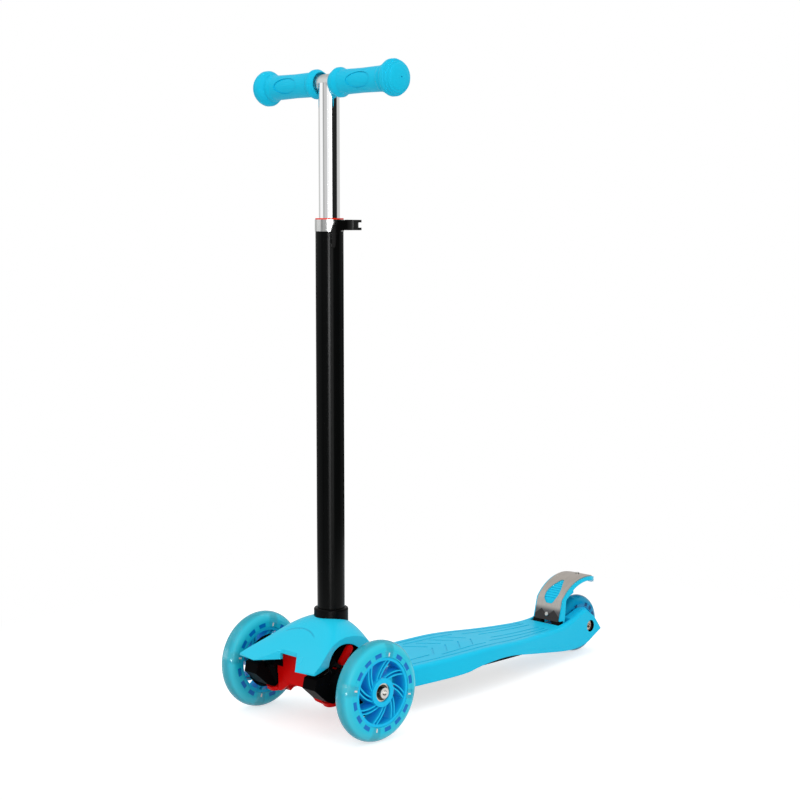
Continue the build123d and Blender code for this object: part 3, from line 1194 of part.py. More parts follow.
def brake_screws():
    """The low screw in the straight front of the brake, and the high one near its tip."""
    place, out = brake_front(LOW_SCREW_Z)
    high_out = Vector(0, *polar(1, TOP_SCREW_ANGLE))
    axle = Vector(0, WHEELBASE, BRAKE_CENTRE_Z)
    places = [(Vector(0, place.X, place.Y), Vector(0, out.X, out.Y)),
              (axle + high_out * BRAKE_R, high_out)]
    screws = []
    for place, out in places:
        face = place + out * BRAKE_PLATE
        shank = bar(SCREW_R, face, out * -1, 5)
        head = bar(SCREW_HEAD_R, face, out, SCREW_HEAD)
        rim = head.edges().filter_by(GeomType.CIRCLE).sort_by_distance(face + out * 9)[0]
        screws.append(shank + fillet(rim, 0.8))
    return screws


def brake_spring():
    """The torsion spring round the pin that lifts the brake off the wheel."""
    length = 2 * BRAKE_SPRING_HALF
    path = Helix(pitch=length / BRAKE_SPRING_TURNS, height=length, radius=BRAKE_SPRING_R,
                 center=(-BRAKE_SPRING_HALF, BRAKE_PIVOT_Y, BRAKE_PIVOT_Z), direction=(1, 0, 0))
    wire = Plane(origin=path @ 0, z_dir=path % 0) * RegularPolygon(BRAKE_SPRING_WIRE / 2, 6)
    coil = sweep(wire, path=path, is_frenet=True)
    back_leg = bar(BRAKE_SPRING_WIRE / 2, path @ 0, (0, 1, 0), BRAKE_SLOT_END - BRAKE_PIVOT_Y)
    reach = BRAKE_SPRING_ROOM - BRAKE_SPRING_R
    return coil + back_leg + bar(BRAKE_SPRING_WIRE / 2, path @ 1, (0, 0, 1), reach)


def brake_pin():
    return bar(BRAKE_PIN_R, (-BRAKE_PIN_HALF, BRAKE_PIVOT_Y, BRAKE_PIVOT_Z), (1, 0, 0),
               2 * BRAKE_PIN_HALF)


def save_brake():
    save("brake_arm", brake_arm())
    save("brake_cover_plate", brake_cover_plate())
    save("brake_screws", *brake_screws())
    save("brake_spring", brake_spring())
    save("brake_pin", brake_pin())


save_front_wheels()
save_steering()
save_deck()
save_column()
save_clamp()
save_handlebar()
rear_wheel_pieces()
save_brake()
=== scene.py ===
import json
import math

import bpy
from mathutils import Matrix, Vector


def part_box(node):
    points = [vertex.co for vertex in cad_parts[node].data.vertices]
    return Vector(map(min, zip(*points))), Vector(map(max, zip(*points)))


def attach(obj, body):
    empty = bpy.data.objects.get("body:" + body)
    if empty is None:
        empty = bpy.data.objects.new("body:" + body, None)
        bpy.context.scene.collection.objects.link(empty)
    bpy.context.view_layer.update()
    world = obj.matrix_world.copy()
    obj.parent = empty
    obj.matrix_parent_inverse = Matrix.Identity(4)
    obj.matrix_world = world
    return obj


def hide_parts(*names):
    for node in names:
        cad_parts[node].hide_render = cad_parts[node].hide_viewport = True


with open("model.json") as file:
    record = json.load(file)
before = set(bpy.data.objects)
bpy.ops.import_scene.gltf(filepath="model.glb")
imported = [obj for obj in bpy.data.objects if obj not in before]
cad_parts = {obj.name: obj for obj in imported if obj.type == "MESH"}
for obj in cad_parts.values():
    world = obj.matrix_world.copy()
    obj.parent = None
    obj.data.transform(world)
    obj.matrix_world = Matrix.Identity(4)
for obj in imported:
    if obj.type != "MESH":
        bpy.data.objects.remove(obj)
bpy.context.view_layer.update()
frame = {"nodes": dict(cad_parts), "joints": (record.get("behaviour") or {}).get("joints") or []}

# ---------------------------------------------------------------- the studio
# A white room with a pale floor, one broad lamp high in front of the scooter, one tall strip
# beside the camera, and even light from all round. Mirrored rays alone meet dark and grey
# screens and a bright low window, and the floor lets them through about a metre out.
pivots = {joint["name"]: Vector(joint.get("pos_m", (0, 0, 0))) for joint in frame["joints"]}
left_axle = pivots["wheel_left_spin"]
right_axle = pivots["wheel_right_spin"]
rear_axle = pivots["rear_wheel_spin"]
CAMERA_AZIMUTH = math.radians(45.21)
CAMERA_ELEVATION = math.radians(5.93)
CAMERA_DISTANCE = 1.87026
LENS = 74.5155
look_at = Vector((0.14362, left_axle.y, 0.40422))


def from_round(azimuth, elevation, distance):
    """A place round the object: azimuth 0 is in front of it and a quarter turn on its left."""
    level = math.cos(elevation) * distance
    return Vector((math.sin(azimuth) * level, -math.cos(azimuth) * level,
                   math.sin(elevation) * distance))


camera = bpy.data.objects.new("camera", bpy.data.cameras.new("camera"))
bpy.context.scene.collection.objects.link(camera)
bpy.context.scene.camera = camera
camera.data.lens = LENS
camera.data.clip_start = 0.05
camera.data.clip_end = 60
towards_camera = from_round(CAMERA_AZIMUTH, CAMERA_ELEVATION, CAMERA_DISTANCE)
camera.location = look_at + towards_camera
camera.rotation_euler = towards_camera.to_track_quat("Z", "Y").to_euler()
bpy.context.scene.view_settings.view_transform = "Standard"

LAMP_DISTANCE = 2.6
LAMP_AIM = Vector((0, 0, 0.35))


def lamp(name, azimuth, elevation, size, power):
    """A rectangular soft lamp that faces the middle of the object."""
    light = bpy.data.lights.new(name, "AREA")
    light.shape = "RECTANGLE"
    light.size, light.size_y = size
    light.energy = power
    place = from_round(math.radians(azimuth), math.radians(elevation), LAMP_DISTANCE)
    holder = bpy.data.objects.new(name, light)
    bpy.context.scene.collection.objects.link(holder)
    holder.location = place + LAMP_AIM
    holder.rotation_euler = place.to_track_quat("Z", "Y").to_euler()


lamp("front_lamp", 5, 50, (1.8, 1.8), 8)
lamp("strip_lamp", 62, 8, (0.9, 2.0), 13)


class Shade:
    """A socket in a node tree, with arithmetic that adds Math nodes."""

    def __init__(self, tree, socket=None):
        self.tree = tree
        self.socket = socket

    def add(self, kind, inputs, output=0, **settings):
        """Add any other node: its settings first, then what goes into its sockets."""
        added = self.tree.nodes.new(kind)
        for key, value in settings.items():
            setattr(added, key, value)
        for key, value in inputs.items():
            if isinstance(value, Shade):
                self.tree.links.new(value.socket, added.inputs[key])
            else:
                added.inputs[key].default_value = value
        return Shade(self.tree, added.outputs[output] if added.outputs else None)

    def maths(self, operation, first, second=0.0):
        return self.add("ShaderNodeMath", {0: first, 1: second}, operation=operation)

    def __add__(self, other):
        return self.maths("ADD", self, other)

    def __sub__(self, other):
        return self.maths("SUBTRACT", self, other)

    def __rsub__(self, other):
        return self.maths("SUBTRACT", other, self)

    def __mul__(self, other):
        return self.maths("MULTIPLY", self, other)

    def __truediv__(self, other):
        return self.maths("DIVIDE", self, other)

    def __abs__(self):
        return self.maths("ABSOLUTE", self)

    __radd__ = __add__
    __rmul__ = __mul__

    def larger(self, other):
        return self.maths("MAXIMUM", self, other)

    def between(self, low, high):
        """0 at low and 1 at high, with a soft change."""
        return self.add("ShaderNodeMapRange", {0: self, 1: low, 2: high},
                        interpolation_type="SMOOTHSTEP")

    def within(self, start, full, fading, end):
        """1 from full to fading, and softly 0 before the start and past the end."""
        return self.between(start, full) * (1 - self.between(fading, end))

    def mix(self, first, second):
        """Two colours mixed by this share."""
        return self.add("ShaderNodeMix", {0: self, 6: first, 7: second}, output=2,
                        data_type="RGBA")

    def axes(self):
        """The three parts of a vector."""
        parts = self.add("ShaderNodeSeparateXYZ", {0: self}).socket.node.outputs
        return [Shade(self.tree, part) for part in parts]

    def noise(self, scale, detail=2.0, stretch=(1, 1, 1)):
        """Marks of 0 to 1, so many to a metre, finer along an axis by its stretch."""
        drawn = self.add("ShaderNodeMapping", {"Vector": self, "Scale": stretch})
        return self.add("ShaderNodeTexNoise", {"Vector": drawn, "Scale": scale,
                                               "Detail": detail})


def colour(red, green, blue):
    """A shader colour from three numbers of 0 to 255, as on a paint maker's card."""
    card = [part / 255 for part in (red, green, blue)]
    return (*[p / 12.92 if p <= 0.04045 else ((p + 0.055) / 1.055) ** 2.4 for p in card], 1)


def straight_rays(shade):
    """1 for what the camera sees, straight or in metal or glass, and 0 for light that lands."""
    seen = shade.add("ShaderNodeLightPath", {}, output="Is Camera Ray")
    for other in ("Is Glossy Ray", "Is Transmission Ray"):
        seen = seen.larger(shade.add("ShaderNodeLightPath", {}, output=other))
    return seen


WHITE = (1, 1, 1, 1)
SCREEN_BLACK = colour(34, 35, 35)
EVEN_LIGHT = 0.84
# Where each thing round the room starts, is full, fades and ends, in radians to the camera's right
# of straight at the camera.
DARK_SCREEN = (0.2, 0.42, 1.66, 1.8)
GREY_WALL = (-1.3, -1.2, -0.42, -0.3)
SLIM_POST = (-1.16, -1.08, -1.0, -0.92)
DARK_FLAG = (2.15, 2.3, 2.8, 2.95)
GREY_CORNER = (-2.1, -1.95)
WINDOW = (-0.24, -0.1, 0.02, 0.16)
# The same for how steeply down a thing is seen: 0 is level, and 1 is straight down.
CARPET = (0.004, 0.02, 0.2, 0.3)
WINDOW_HEAD = (0.002, 0.01)
WINDOW_FADE = (0, 0.14)
WINDOW_TOP = 30.0
WINDOW_FOOT = 4.0
POST_SHARE = 0.5
CARPET_SHADE = 0.6
world = bpy.data.worlds.new("room")
bpy.context.scene.world = world
world.use_nodes = True
world.node_tree.nodes.clear()
room = Shade(world.node_tree)
look_x, look_y, look_z = room.add("ShaderNodeTexCoord", {}, output="Generated").axes()
side = look_x * math.cos(CAMERA_AZIMUTH) + look_y * math.sin(CAMERA_AZIMUTH)
ahead = look_x * math.sin(CAMERA_AZIMUTH) - look_y * math.cos(CAMERA_AZIMUTH)
turn = room.maths("ARCTAN2", side, ahead)
low = 0 - look_z
screen = turn.within(*DARK_SCREEN)
wall = turn.within(*GREY_WALL)
post = turn.within(*SLIM_POST)
corner = turn.between(*DARK_SCREEN[2:]).larger(1 - turn.between(*GREY_CORNER))
flag = turn.within(*DARK_FLAG) * low.between(*CARPET[:2])
carpet = low.within(*CARPET)
window = turn.within(*WINDOW) * low.between(*WINDOW_HEAD)
window = window * (WINDOW_TOP * (1 - low.between(*WINDOW_FADE)) + WINDOW_FOOT)
pale_room = wall.mix(corner.mix(WHITE, colour(208, 208, 207)), colour(204, 204, 204))
mirrored = screen.larger(flag).larger(post * POST_SHARE).mix(pale_room, SCREEN_BLACK)
in_metal = room.add("ShaderNodeLightPath", {}, output="Is Glossy Ray")
shine = in_metal * (window - carpet * CARPET_SHADE) + 1.0
even_light = room.add("ShaderNodeBackground", {0: WHITE, 1: EVEN_LIGHT})
backdrop = room.add("ShaderNodeBackground", {0: in_metal.mix(WHITE, mirrored), 1: shine})
both = room.add("ShaderNodeMixShader", {0: straight_rays(room), 1: even_light, 2: backdrop})
room.add("ShaderNodeOutputWorld", {0: both})

FLOOR_SIZE = 40
FLOOR_LIFT = 0.62
# Distances from the middle over which the floor turns pure white, and lets mirrored rays through.
WHITENING = (0.3, 0.75)
OPENING = (0.75, 1.1)
bpy.ops.object.select_all(action="DESELECT")
bpy.ops.mesh.primitive_plane_add(size=FLOOR_SIZE)
floor = bpy.context.object
floor.name = "floor"
floor_paint = bpy.data.materials.new("floor_paint")
floor_paint.use_nodes = True
floor_paint.node_tree.nodes.clear()
ground = Shade(floor_paint.node_tree)
floor_x, floor_y, _ = ground.add("ShaderNodeTexCoord", {}, output="Object").axes()
outwards = ground.maths("SQRT", floor_x * floor_x + floor_y * floor_y)
paint = ground.add("ShaderNodeBsdfDiffuse", {0: colour(216, 216, 216)})
lift = ground.add("ShaderNodeEmission", {0: WHITE, 1: FLOOR_LIFT})
near_floor = ground.add("ShaderNodeAddShader", {0: paint, 1: lift})
far_floor = ground.add("ShaderNodeEmission", {0: WHITE, 1: 1.0})
whitened = outwards.between(*WHITENING)
seen_floor = ground.add("ShaderNodeMixShader", {0: whitened, 1: near_floor, 2: far_floor})
closed_floor = ground.add("ShaderNodeMixShader", {0: straight_rays(ground), 1: paint,
                                                  2: seen_floor})
mirrored_floor = ground.add("ShaderNodeLightPath", {}, output="Is Glossy Ray")
open_share = mirrored_floor * outwards.between(*OPENING)
open_floor = ground.add("ShaderNodeBsdfTransparent", {})
floor_shader = ground.add("ShaderNodeMixShader", {0: open_share, 1: closed_floor, 2: open_floor})
ground.add("ShaderNodeOutputMaterial", {0: floor_shader})
floor.data.materials.append(floor_paint)

# ---------------------------------------------------------------- deck
# The foot deck is one injection-moulded shell with ribs under it, closed by a black plate. Its
# skin has the fine frosted texture of the mould, and the screws are zinc-plated.


def start_finish(name):
    """A new empty material, and the place on the piece that its pattern is read from."""
    material = bpy.data.materials.new(name)
    material.use_nodes = True
    material.node_tree.nodes.clear()
    return material, Shade(material.node_tree).add("ShaderNodeTexCoord", {}, output="Object")


# Black painted as shade: in the bolt's recesses, the truck under the arches, the brake arm's foot.
PAINTED_SHADE_BLACK = colour(8, 9, 10)


def surface(place, base, roughness, height=None, depth=0.0001, edge=0.0, **constants):
    """A coated surface, with marks pressed into it by their height, and softened edges."""
    inputs = {"Base Color": base, "Roughness": roughness, **constants}
    if edge:
        inputs["Normal"] = place.add("ShaderNodeBevel", {"Radius": edge}, samples=4)
    if height:
        pressed = {"Height": height, "Strength": 1.0, "Distance": depth}
        if edge:
            pressed["Normal"] = inputs["Normal"]
        inputs["Normal"] = place.add("ShaderNodeBump", pressed)
    return place.add("ShaderNodeBsdfPrincipled", inputs)


def moulded(name, pale, full, roughness, grain=900, depth=0.000008, edge=0.0008, painted_shade=None,
            **constants):
    """Moulded plastic: slow drifts between two near tints, and the mould's frosted grain.

    Where a share of painted shade is given, worked out from the place, the plastic is black there.
    """
    material, place = start_finish(name)
    base = place.noise(14, 3.0).mix(full, pale)
    if painted_shade:
        base = painted_shade(place).mix(base, PAINTED_SHADE_BLACK)
    frost = place.noise(grain, 2.0)
    gloss = place.noise(40) * 0.1 + (roughness - 0.05)
    constants.setdefault("IOR", 1.33)
    shader = surface(place, base, gloss, frost, depth, edge, **constants)
    place.add("ShaderNodeOutputMaterial", {0: shader})
    return material


def dress(material, *names):
    """Give CAD nodes one material."""
    for name in names:
        slots = frame["nodes"][name].data.materials
        slots.clear()
        slots.append(material)


RECESS_RADIUS = 0.0083
RECESS_FLOOR = 0.0212
EDGE_BLUR = 0.0002


def bolt_recess_shade(place):
    """The floors of the rear axle bolt's round recesses, painted black as the shade inside them.
    """
    x, y, z = place.axes()
    back = y - rear_axle.y
    up = z - rear_axle.z
    out = place.maths("SQRT", back * back + up * up)
    inside = 1 - out.between(RECESS_RADIUS - EDGE_BLUR, RECESS_RADIUS)
    return inside * abs(x).between(RECESS_FLOOR - 0.0005, RECESS_FLOOR)


# The floors of the rear bolt's recesses in the deck are painted black, as painted shade.
dress(moulded("deck_plastic", colour(26, 208, 247), colour(16, 200, 241), 0.36, edge=0.0012,
              painted_shade=bolt_recess_shade, IOR=1.2), "deck_board")
black_plastic = moulded("black_plastic", colour(10, 10, 11), colour(6, 6, 7), 0.3, IOR=1.15)
dress(black_plastic, "deck_bottom_plate")


def plated(name, bright, dull, roughness, grain=700, stretch=(1, 1, 1), depth=0.00001,
           edge=0.0003):
    """Plated or turned metal: fine marks from the tool, and a slightly cloudy shine."""
    material, place = start_finish(name)
    cloud = place.noise(90, 4.0)
    tool = place.noise(grain, 3.0, stretch)
    gloss = cloud * 0.14 + (roughness - 0.07)
    shader = surface(place, cloud.mix(dull, bright), gloss, tool, depth, edge, Metallic=1.0)
    place.add("ShaderNodeOutputMaterial", {0: shader})
    return material


zinc = plated("zinc_plate", colour(214, 214, 210), colour(170, 170, 168), 0.3)
dress(zinc, "plate_screws")

# ---------------------------------------------------------------- truck and its cover
# The truck is a red moulding of glass-filled plastic, screwed under the deck's nose, and it
# carries the kingpins. A smooth cyan cover is screwed over it, with an arched line pressed into
# its front face.
BRACE_Y = left_axle.y - 0.003
BRACE_Z = 0.0845
BRACE_LEAN = math.atan2(0.012, 0.0145)
BRACE_HALF = 0.0046
BRACE_FACE_X = 0.0455
BRACE_BOTTOM = 0.075
SHOULDER_X = 0.026
SHOULDER_BOTTOM = 0.07
SHOULDER_BLUR = 0.0005


def truck_arch_shade(place):
    """Shade painted black on the truck's shoulders under the arches; the braces there stay red."""
    x, y, z = place.axes()
    aside = (y - BRACE_Y) * math.cos(BRACE_LEAN) - (z - BRACE_Z) * math.sin(BRACE_LEAN)
    brace = 1 - abs(aside).between(BRACE_HALF - EDGE_BLUR, BRACE_HALF)
    brace = brace * abs(x).between(BRACE_FACE_X - 0.0003, BRACE_FACE_X)
    brace = brace * z.between(BRACE_BOTTOM - SHOULDER_BLUR, BRACE_BOTTOM)
    shoulder = abs(x).between(SHOULDER_X - SHOULDER_BLUR, SHOULDER_X)
    shoulder = shoulder * z.between(SHOULDER_BOTTOM - SHOULDER_BLUR, SHOULDER_BOTTOM)
    return shoulder * (1 - brace)


PALE_RED = colour(226, 5, 4)
FULL_RED = colour(214, 3, 3)
# The truck's shoulders under the arches are painted black, as the shade inside the cover.
dress(moulded("red_plastic", PALE_RED, FULL_RED, 0.34, IOR=1.13, painted_shade=truck_arch_shade),
      "truck_body")
dress(moulded("red_rod_plastic", PALE_RED, FULL_RED, 0.34, IOR=1.13), "tie_rod")
dress(zinc, "tongue_screws", "cover_screws", "socket_screws")
cover_plastic, cover_place = start_finish("cover_plastic")
cover_x, cover_y, _ = cover_place.axes()
ARC_X = -0.007
ARC_Y = left_axle.y - 0.072
ARC_RADIUS = 0.058
ARC_HALF_WIDTH = 0.0012
ARC_REACH = 0.029
ARC_FADE = 0.008
ARC_DEPTH = 0.0004
across = cover_x - ARC_X
forwards = cover_y - ARC_Y
off_arc = abs(cover_place.maths("SQRT", across * across + forwards * forwards) - ARC_RADIUS)
arc = (1 - off_arc.between(0, ARC_HALF_WIDTH)) * forwards.between(0.04, 0.045)
arc = arc * (1 - abs(across).between(ARC_REACH - ARC_FADE, ARC_REACH))
# Faces of the cover that look downwards are painted black, as the shade under it.
_, _, facing_z = cover_place.add("ShaderNodeTexCoord", {}, output="Normal").axes()
painted_underside_shade = (0 - facing_z).between(0.3, 0.4)
cover_tint = cover_place.noise(14, 3.0).mix(colour(32, 204, 238), colour(42, 210, 243))
# The pressed arc is also painted darker, as the shade in its groove.
cover_base = painted_underside_shade.mix((arc * 0.6).mix(cover_tint, colour(10, 160, 204)), colour(7, 8, 9))
cover_shader = surface(cover_place, cover_base, cover_place.noise(40) * 0.08 + 0.22, 0 - arc,
                       ARC_DEPTH, 0.0014, IOR=1.26)
cover_place.add("ShaderNodeOutputMaterial", {0: cover_shader})
dress(cover_plastic, "truck_cover")

# ---------------------------------------------------------------- steering
# Each wheel is held by a glossy black knuckle of glass-filled nylon that turns on a leaning
# kingpin. The red tie rod joins the two on steel pins, and springs bring the deck back level.
dress(moulded("knuckle_nylon", colour(11, 11, 12), colour(6, 6, 7), 0.34, depth=0.00001,
              IOR=1.06), "knuckle_left", "knuckle_right")
dress(moulded("bush_nylon", colour(38, 38, 38), colour(26, 26, 26), 0.5),
      "kingpin_bushes_left", "kingpin_bushes_right")
turned_steel = plated("turned_steel", colour(206, 205, 201), colour(172, 171, 168), 0.24,
                      grain=260, stretch=(12, 1, 1))
dress(turned_steel, "kingpin_left", "kingpin_right", "tie_rod_pin_left", "tie_rod_pin_right")
spring_steel = plated("spring_steel", colour(176, 174, 170), colour(128, 126, 124), 0.34)
dress(spring_steel, "centring_spring_left", "centring_spring_right")

# ---------------------------------------------------------------- hubs, lights and bearings
# The hubs are moulded from see-through cyan plastic. Their faces, rim and boss are painted bright,
# as light, and their pockets deep blue, as shade. Pale light modules sit in the flange, and a
# steel bearing in each face.
FRONT_RIM = 0.041
REAR_RIM = 0.024
FRONT_BOSS = 0.017
REAR_BOSS = 0.015
# Distances along the axle over which the hub turns to painted light at its faces.
PAINTED_FACE_LIGHT = (0.0015, 0.0092)
SHIELD_RADII = (0.0056, 0.006, 0.009, 0.0094)
wheels = {"front_left": left_axle, "front_right": right_axle, "rear": rear_axle}


def on_wheel(place, axle):
    """Where a point of a wheel is: along its axle, out from it, and round it in quarters."""
    middle = place.add("ShaderNodeVectorMath", {0: place, 1: axle}, operation="SUBTRACT")
    along, back, up = middle.axes()
    out = place.maths("SQRT", back * back + up * up)
    return along, out, place.maths("ARCTAN2", 0 - back, up) * (2 / math.pi)


def hub_finish(name, axle, boss_radius, rim_radius, painted_light_tint, full, painted_pocket_shade):
    """Hub plastic: painted light at the faces, rim and boss, and painted shade in the pockets."""
    material, place = start_finish(name)
    along, out, _ = on_wheel(place, axle)
    at_face = abs(along).between(*PAINTED_FACE_LIGHT)
    at_boss = 1 - out.between(boss_radius - 0.001, boss_radius + 0.0015)
    at_rim = out.between(rim_radius - 0.0045, rim_radius - 0.0025)
    pocket_shade = place.noise(45, 3.0) * 0.25
    painted_light = at_face.larger(at_boss * 0.8).larger(at_rim)
    tint = at_face.mix(full, painted_light_tint)
    base = (painted_light - pocket_shade * (1 - at_face)).mix(painted_pocket_shade, tint)
    shader = surface(place, base, place.noise(60) * 0.1 + 0.26, place.noise(700), 0.000005,
                     0.0007, IOR=1.2)
    place.add("ShaderNodeOutputMaterial", {0: shader})
    return material


hub_sizes = {"front_left": (FRONT_BOSS, FRONT_RIM), "front_right": (FRONT_BOSS, FRONT_RIM),
             "rear": (REAR_BOSS, REAR_RIM)}
hub_nodes = {"front_left": "front_hub_left", "front_right": "front_hub_right",
             "rear": "rear_hub"}
for wheel, node in hub_nodes.items():
    boss, rim = hub_sizes[wheel]
    # Each hub: painted light at its faces, the bright cyan of rim and boss, painted shade in
    # pockets.
    dress(hub_finish(f"hub_plastic_{wheel}", wheels[wheel], boss, rim, colour(22, 200, 248),
                     colour(10, 182, 242), colour(30, 172, 248)), node)


def bearing_finish(name, axle):
    """A ball bearing's face: two ground steel races with a dark shield between them."""
    material, place = start_finish(name)
    _, out, _ = on_wheel(place, axle)
    shield = out.within(*SHIELD_RADII)
    steel = place.noise(120, 3.0).mix(colour(168, 160, 146), colour(214, 209, 200))
    shader = surface(place, shield.mix(steel, colour(64, 58, 50)),
                     place.noise(300) * 0.1 + 0.2, place.noise(900), 0.00001, 0.0002,
                     Metallic=1.0)
    place.add("ShaderNodeOutputMaterial", {0: shader})
    return material


for wheel, node in (("front_left", "front_bearings_left"), ("front_right", "front_bearings_right"),
                    ("rear", "rear_bearings")):
    dress(bearing_finish(f"bearing_steel_{wheel}", wheels[wheel]), node)
dress(turned_steel, "front_axle_bolt_left", "front_axle_bolt_right", "front_magnet_left",
      "front_magnet_right", "rear_magnet", "rear_spacers")
light_plastic, light_place = start_finish("light_plastic")
sliver = light_place.noise(110, 1.0).between(0.56, 0.62)
light_tint = light_place.noise(60).mix(colour(104, 204, 220), colour(132, 212, 224))
light_base = sliver.mix(light_tint, colour(250, 226, 216))
# A faint painted glow on the light modules, for light scattered in the cast; the lights are off.
light_shader = surface(light_place, light_base, light_place.noise(90) * 0.2 + 0.15,
                       light_place.noise(500), 0.00001, 0.0004,
                       **{"Emission Color": colour(120, 214, 228), "Emission Strength": 0.12})
light_place.add("ShaderNodeOutputMaterial", {0: light_shader})
dress(light_plastic, "front_lights_left", "front_lights_right", "rear_lights")

# ---------------------------------------------------------------- tyres
# Each tyre is soft polyurethane, cast round the hub's flange and through its windows, with a
# fine groove round each side. The cast is milky aqua, and clearer over the light modules and
# along the tread's crown.
TYRE_STEPS = 128
FRONT_ROLL = -13
LIGHT_ZONE = 0.075
LIGHT_ZONE_FADE = 0.07
LIGHT_SLIVER = (0.016, 0.024)
SLIVER_RING = (0.0012, 0.0017, 0.0052, 0.0062)
DASH_RING = (0.0011, 0.0018, 0.0062, 0.007)
CROWN_DEPTH = 0.0045
FLASH_LINE = (0.00015, 0.0003)
GROOVE_WIDTH = 0.0005
GROOVE_DEPTH = 0.0002
SEAT_GAP = 0.0002
BARELY = 1e-6


def cast_tyre(name, axle, roll, rim, window, clearness, crown_clearness, inner_milk, outer_milk,
              window_shade_tint):
    """Cast polyurethane: milky, with dashes of painted shade over the flange's windows, a painted
    highlight where a light shows through, and clear light zones.

    Window is half a dash's length in quarter turns, and the clearness is that of the zones over
    the lights and of the crown.
    """
    tread = axle.z
    material, place = start_finish(name)
    along, out, quarters = on_wheel(place, axle)
    quarters = quarters - roll / 90
    off_light = place.maths("PINGPONG", quarters, 0.5)
    off_window = place.maths("PINGPONG", quarters, 0.125)
    waver = place.noise(70, 2.0) * 0.06
    clear_zone = 1 - (off_light + waver).between(LIGHT_ZONE, LIGHT_ZONE + LIGHT_ZONE_FADE)
    # A pale streak is painted where a light module shows through, as a painted highlight.
    sliver = 1 - (off_light + waver * 0.2).between(*LIGHT_SLIVER)
    sliver = sliver * (out - rim).within(*SLIVER_RING)
    if not clearness:  # the lights don't show through a tyre with no clear zones
        sliver = sliver * 0
    crown = out.between(tread - CROWN_DEPTH, tread - 0.0005)
    clear = (clear_zone * clearness).larger(crown * crown_clearness) * (1 - sliver) + 0.05
    # Dark dashes are painted over the flange's windows, as the shade seen in them through the
    # cast.
    ring = (out - rim).within(*DASH_RING)
    row = 1 - (off_window + waver * 0.1).between(window - 0.008, window + 0.008)
    window_shade_dashes = ring * row * (1 - clear_zone)
    cloud = place.noise(30, 3.0) * 0.3
    milk = (out.between(rim + 0.004, tread - 0.002) + cloud).mix(inner_milk, outer_milk)
    flash = 1 - abs(along).between(*FLASH_LINE)
    bump = place.noise(160, 2.0) * 0.2 + flash
    base = sliver.mix(window_shade_dashes.mix(milk, window_shade_tint), colour(250, 228, 218))
    body = surface(place, base, place.noise(40) * 0.08 + 0.08, bump, 0.00006, IOR=1.24)
    glass = surface(place, colour(226, 244, 246), 0.05, bump, 0.00008, IOR=1.45,
                    **{"Transmission Weight": 1.0})
    mixed = place.add("ShaderNodeMixShader", {0: clear, 1: body, 2: glass})
    place.add("ShaderNodeOutputMaterial", {0: mixed})
    return material


def tyre(name, node, body, axle, rim, material):
    """A full-round tyre with a fine groove round each side face.

    Its section is the upper half of a circle, drawn out flat to the rim and spun round the axle.
    """
    low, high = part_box(node)
    half = (high.x - low.x) / 2
    centre = Vector(((low.x + high.x) / 2, axle.y, axle.z))
    shoulder = axle.z - half
    inner = rim + SEAT_GAP
    bpy.ops.object.select_all(action="DESELECT")
    bpy.ops.mesh.primitive_circle_add(vertices=48, radius=half,
                                      location=centre + Vector((0, 0, shoulder)),
                                      rotation=(math.pi / 2, 0, 0))
    made = bpy.context.object
    made.name = name
    bpy.ops.object.transform_apply(location=True, rotation=True, scale=True)
    bpy.ops.object.mode_set(mode="EDIT")
    bpy.ops.mesh.select_all(action="DESELECT")
    bpy.ops.object.mode_set(mode="OBJECT")
    for vertex in made.data.vertices:
        vertex.select = vertex.co.z < centre.z + shoulder - BARELY
    bpy.ops.object.mode_set(mode="EDIT")
    bpy.ops.mesh.delete(type="VERT")
    bpy.ops.object.mode_set(mode="OBJECT")
    for vertex in made.data.vertices:
        vertex.select = vertex.co.z < centre.z + shoulder + BARELY
    bpy.ops.object.mode_set(mode="EDIT")
    steps = (-GROOVE_WIDTH, -GROOVE_WIDTH, inner - shoulder + 2 * GROOVE_WIDTH)
    for step in steps:
        bpy.ops.mesh.extrude_region_move(TRANSFORM_OT_translate={"value": (0, 0, step)})
    bpy.ops.mesh.edge_face_add()
    bpy.ops.mesh.select_all(action="SELECT")
    bpy.ops.mesh.delete(type="ONLY_FACE")
    bpy.ops.mesh.select_all(action="SELECT")
    bpy.ops.mesh.spin(steps=TYRE_STEPS, angle=2 * math.pi, center=centre, axis=(1, 0, 0))
    bpy.ops.mesh.select_all(action="SELECT")
    bpy.ops.mesh.remove_doubles(threshold=BARELY)
    bpy.ops.mesh.normals_make_consistent(inside=False)
    bpy.ops.mesh.select_all(action="DESELECT")
    bpy.ops.object.mode_set(mode="OBJECT")
    for face in made.data.polygons:
        place = face.center - centre
        out = math.hypot(place.y, place.z)
        on_side = abs(face.normal.x) > 0.99
        depth = shoulder - out
        face.select = on_side and GROOVE_WIDTH < depth < 2 * GROOVE_WIDTH
    bpy.ops.object.mode_set(mode="EDIT")
    bpy.ops.mesh.select_mode(type="FACE")
    bpy.ops.mesh.extrude_region_shrink_fatten(TRANSFORM_OT_shrink_fatten={"value": -GROOVE_DEPTH})
    bpy.ops.mesh.select_mode(type="VERT")
    bpy.ops.object.mode_set(mode="OBJECT")
    bpy.ops.object.shade_smooth_by_angle(angle=math.radians(40))
    made.data.materials.append(material)
    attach(made, body)
    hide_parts(node)


for side_name, axle in (("left", left_axle), ("right", right_axle)):
    front_cast = cast_tyre(f"clear_cast_{side_name}", axle, FRONT_ROLL, FRONT_RIM, 0.075, 0.28,
                           0.38, colour(16, 206, 236), colour(64, 210, 232),
                           colour(0, 118, 206))
    tyre(f"tyre_{side_name}", f"front_tyre_{side_name}", f"front_wheel_{side_name}", axle,
         FRONT_RIM, front_cast)
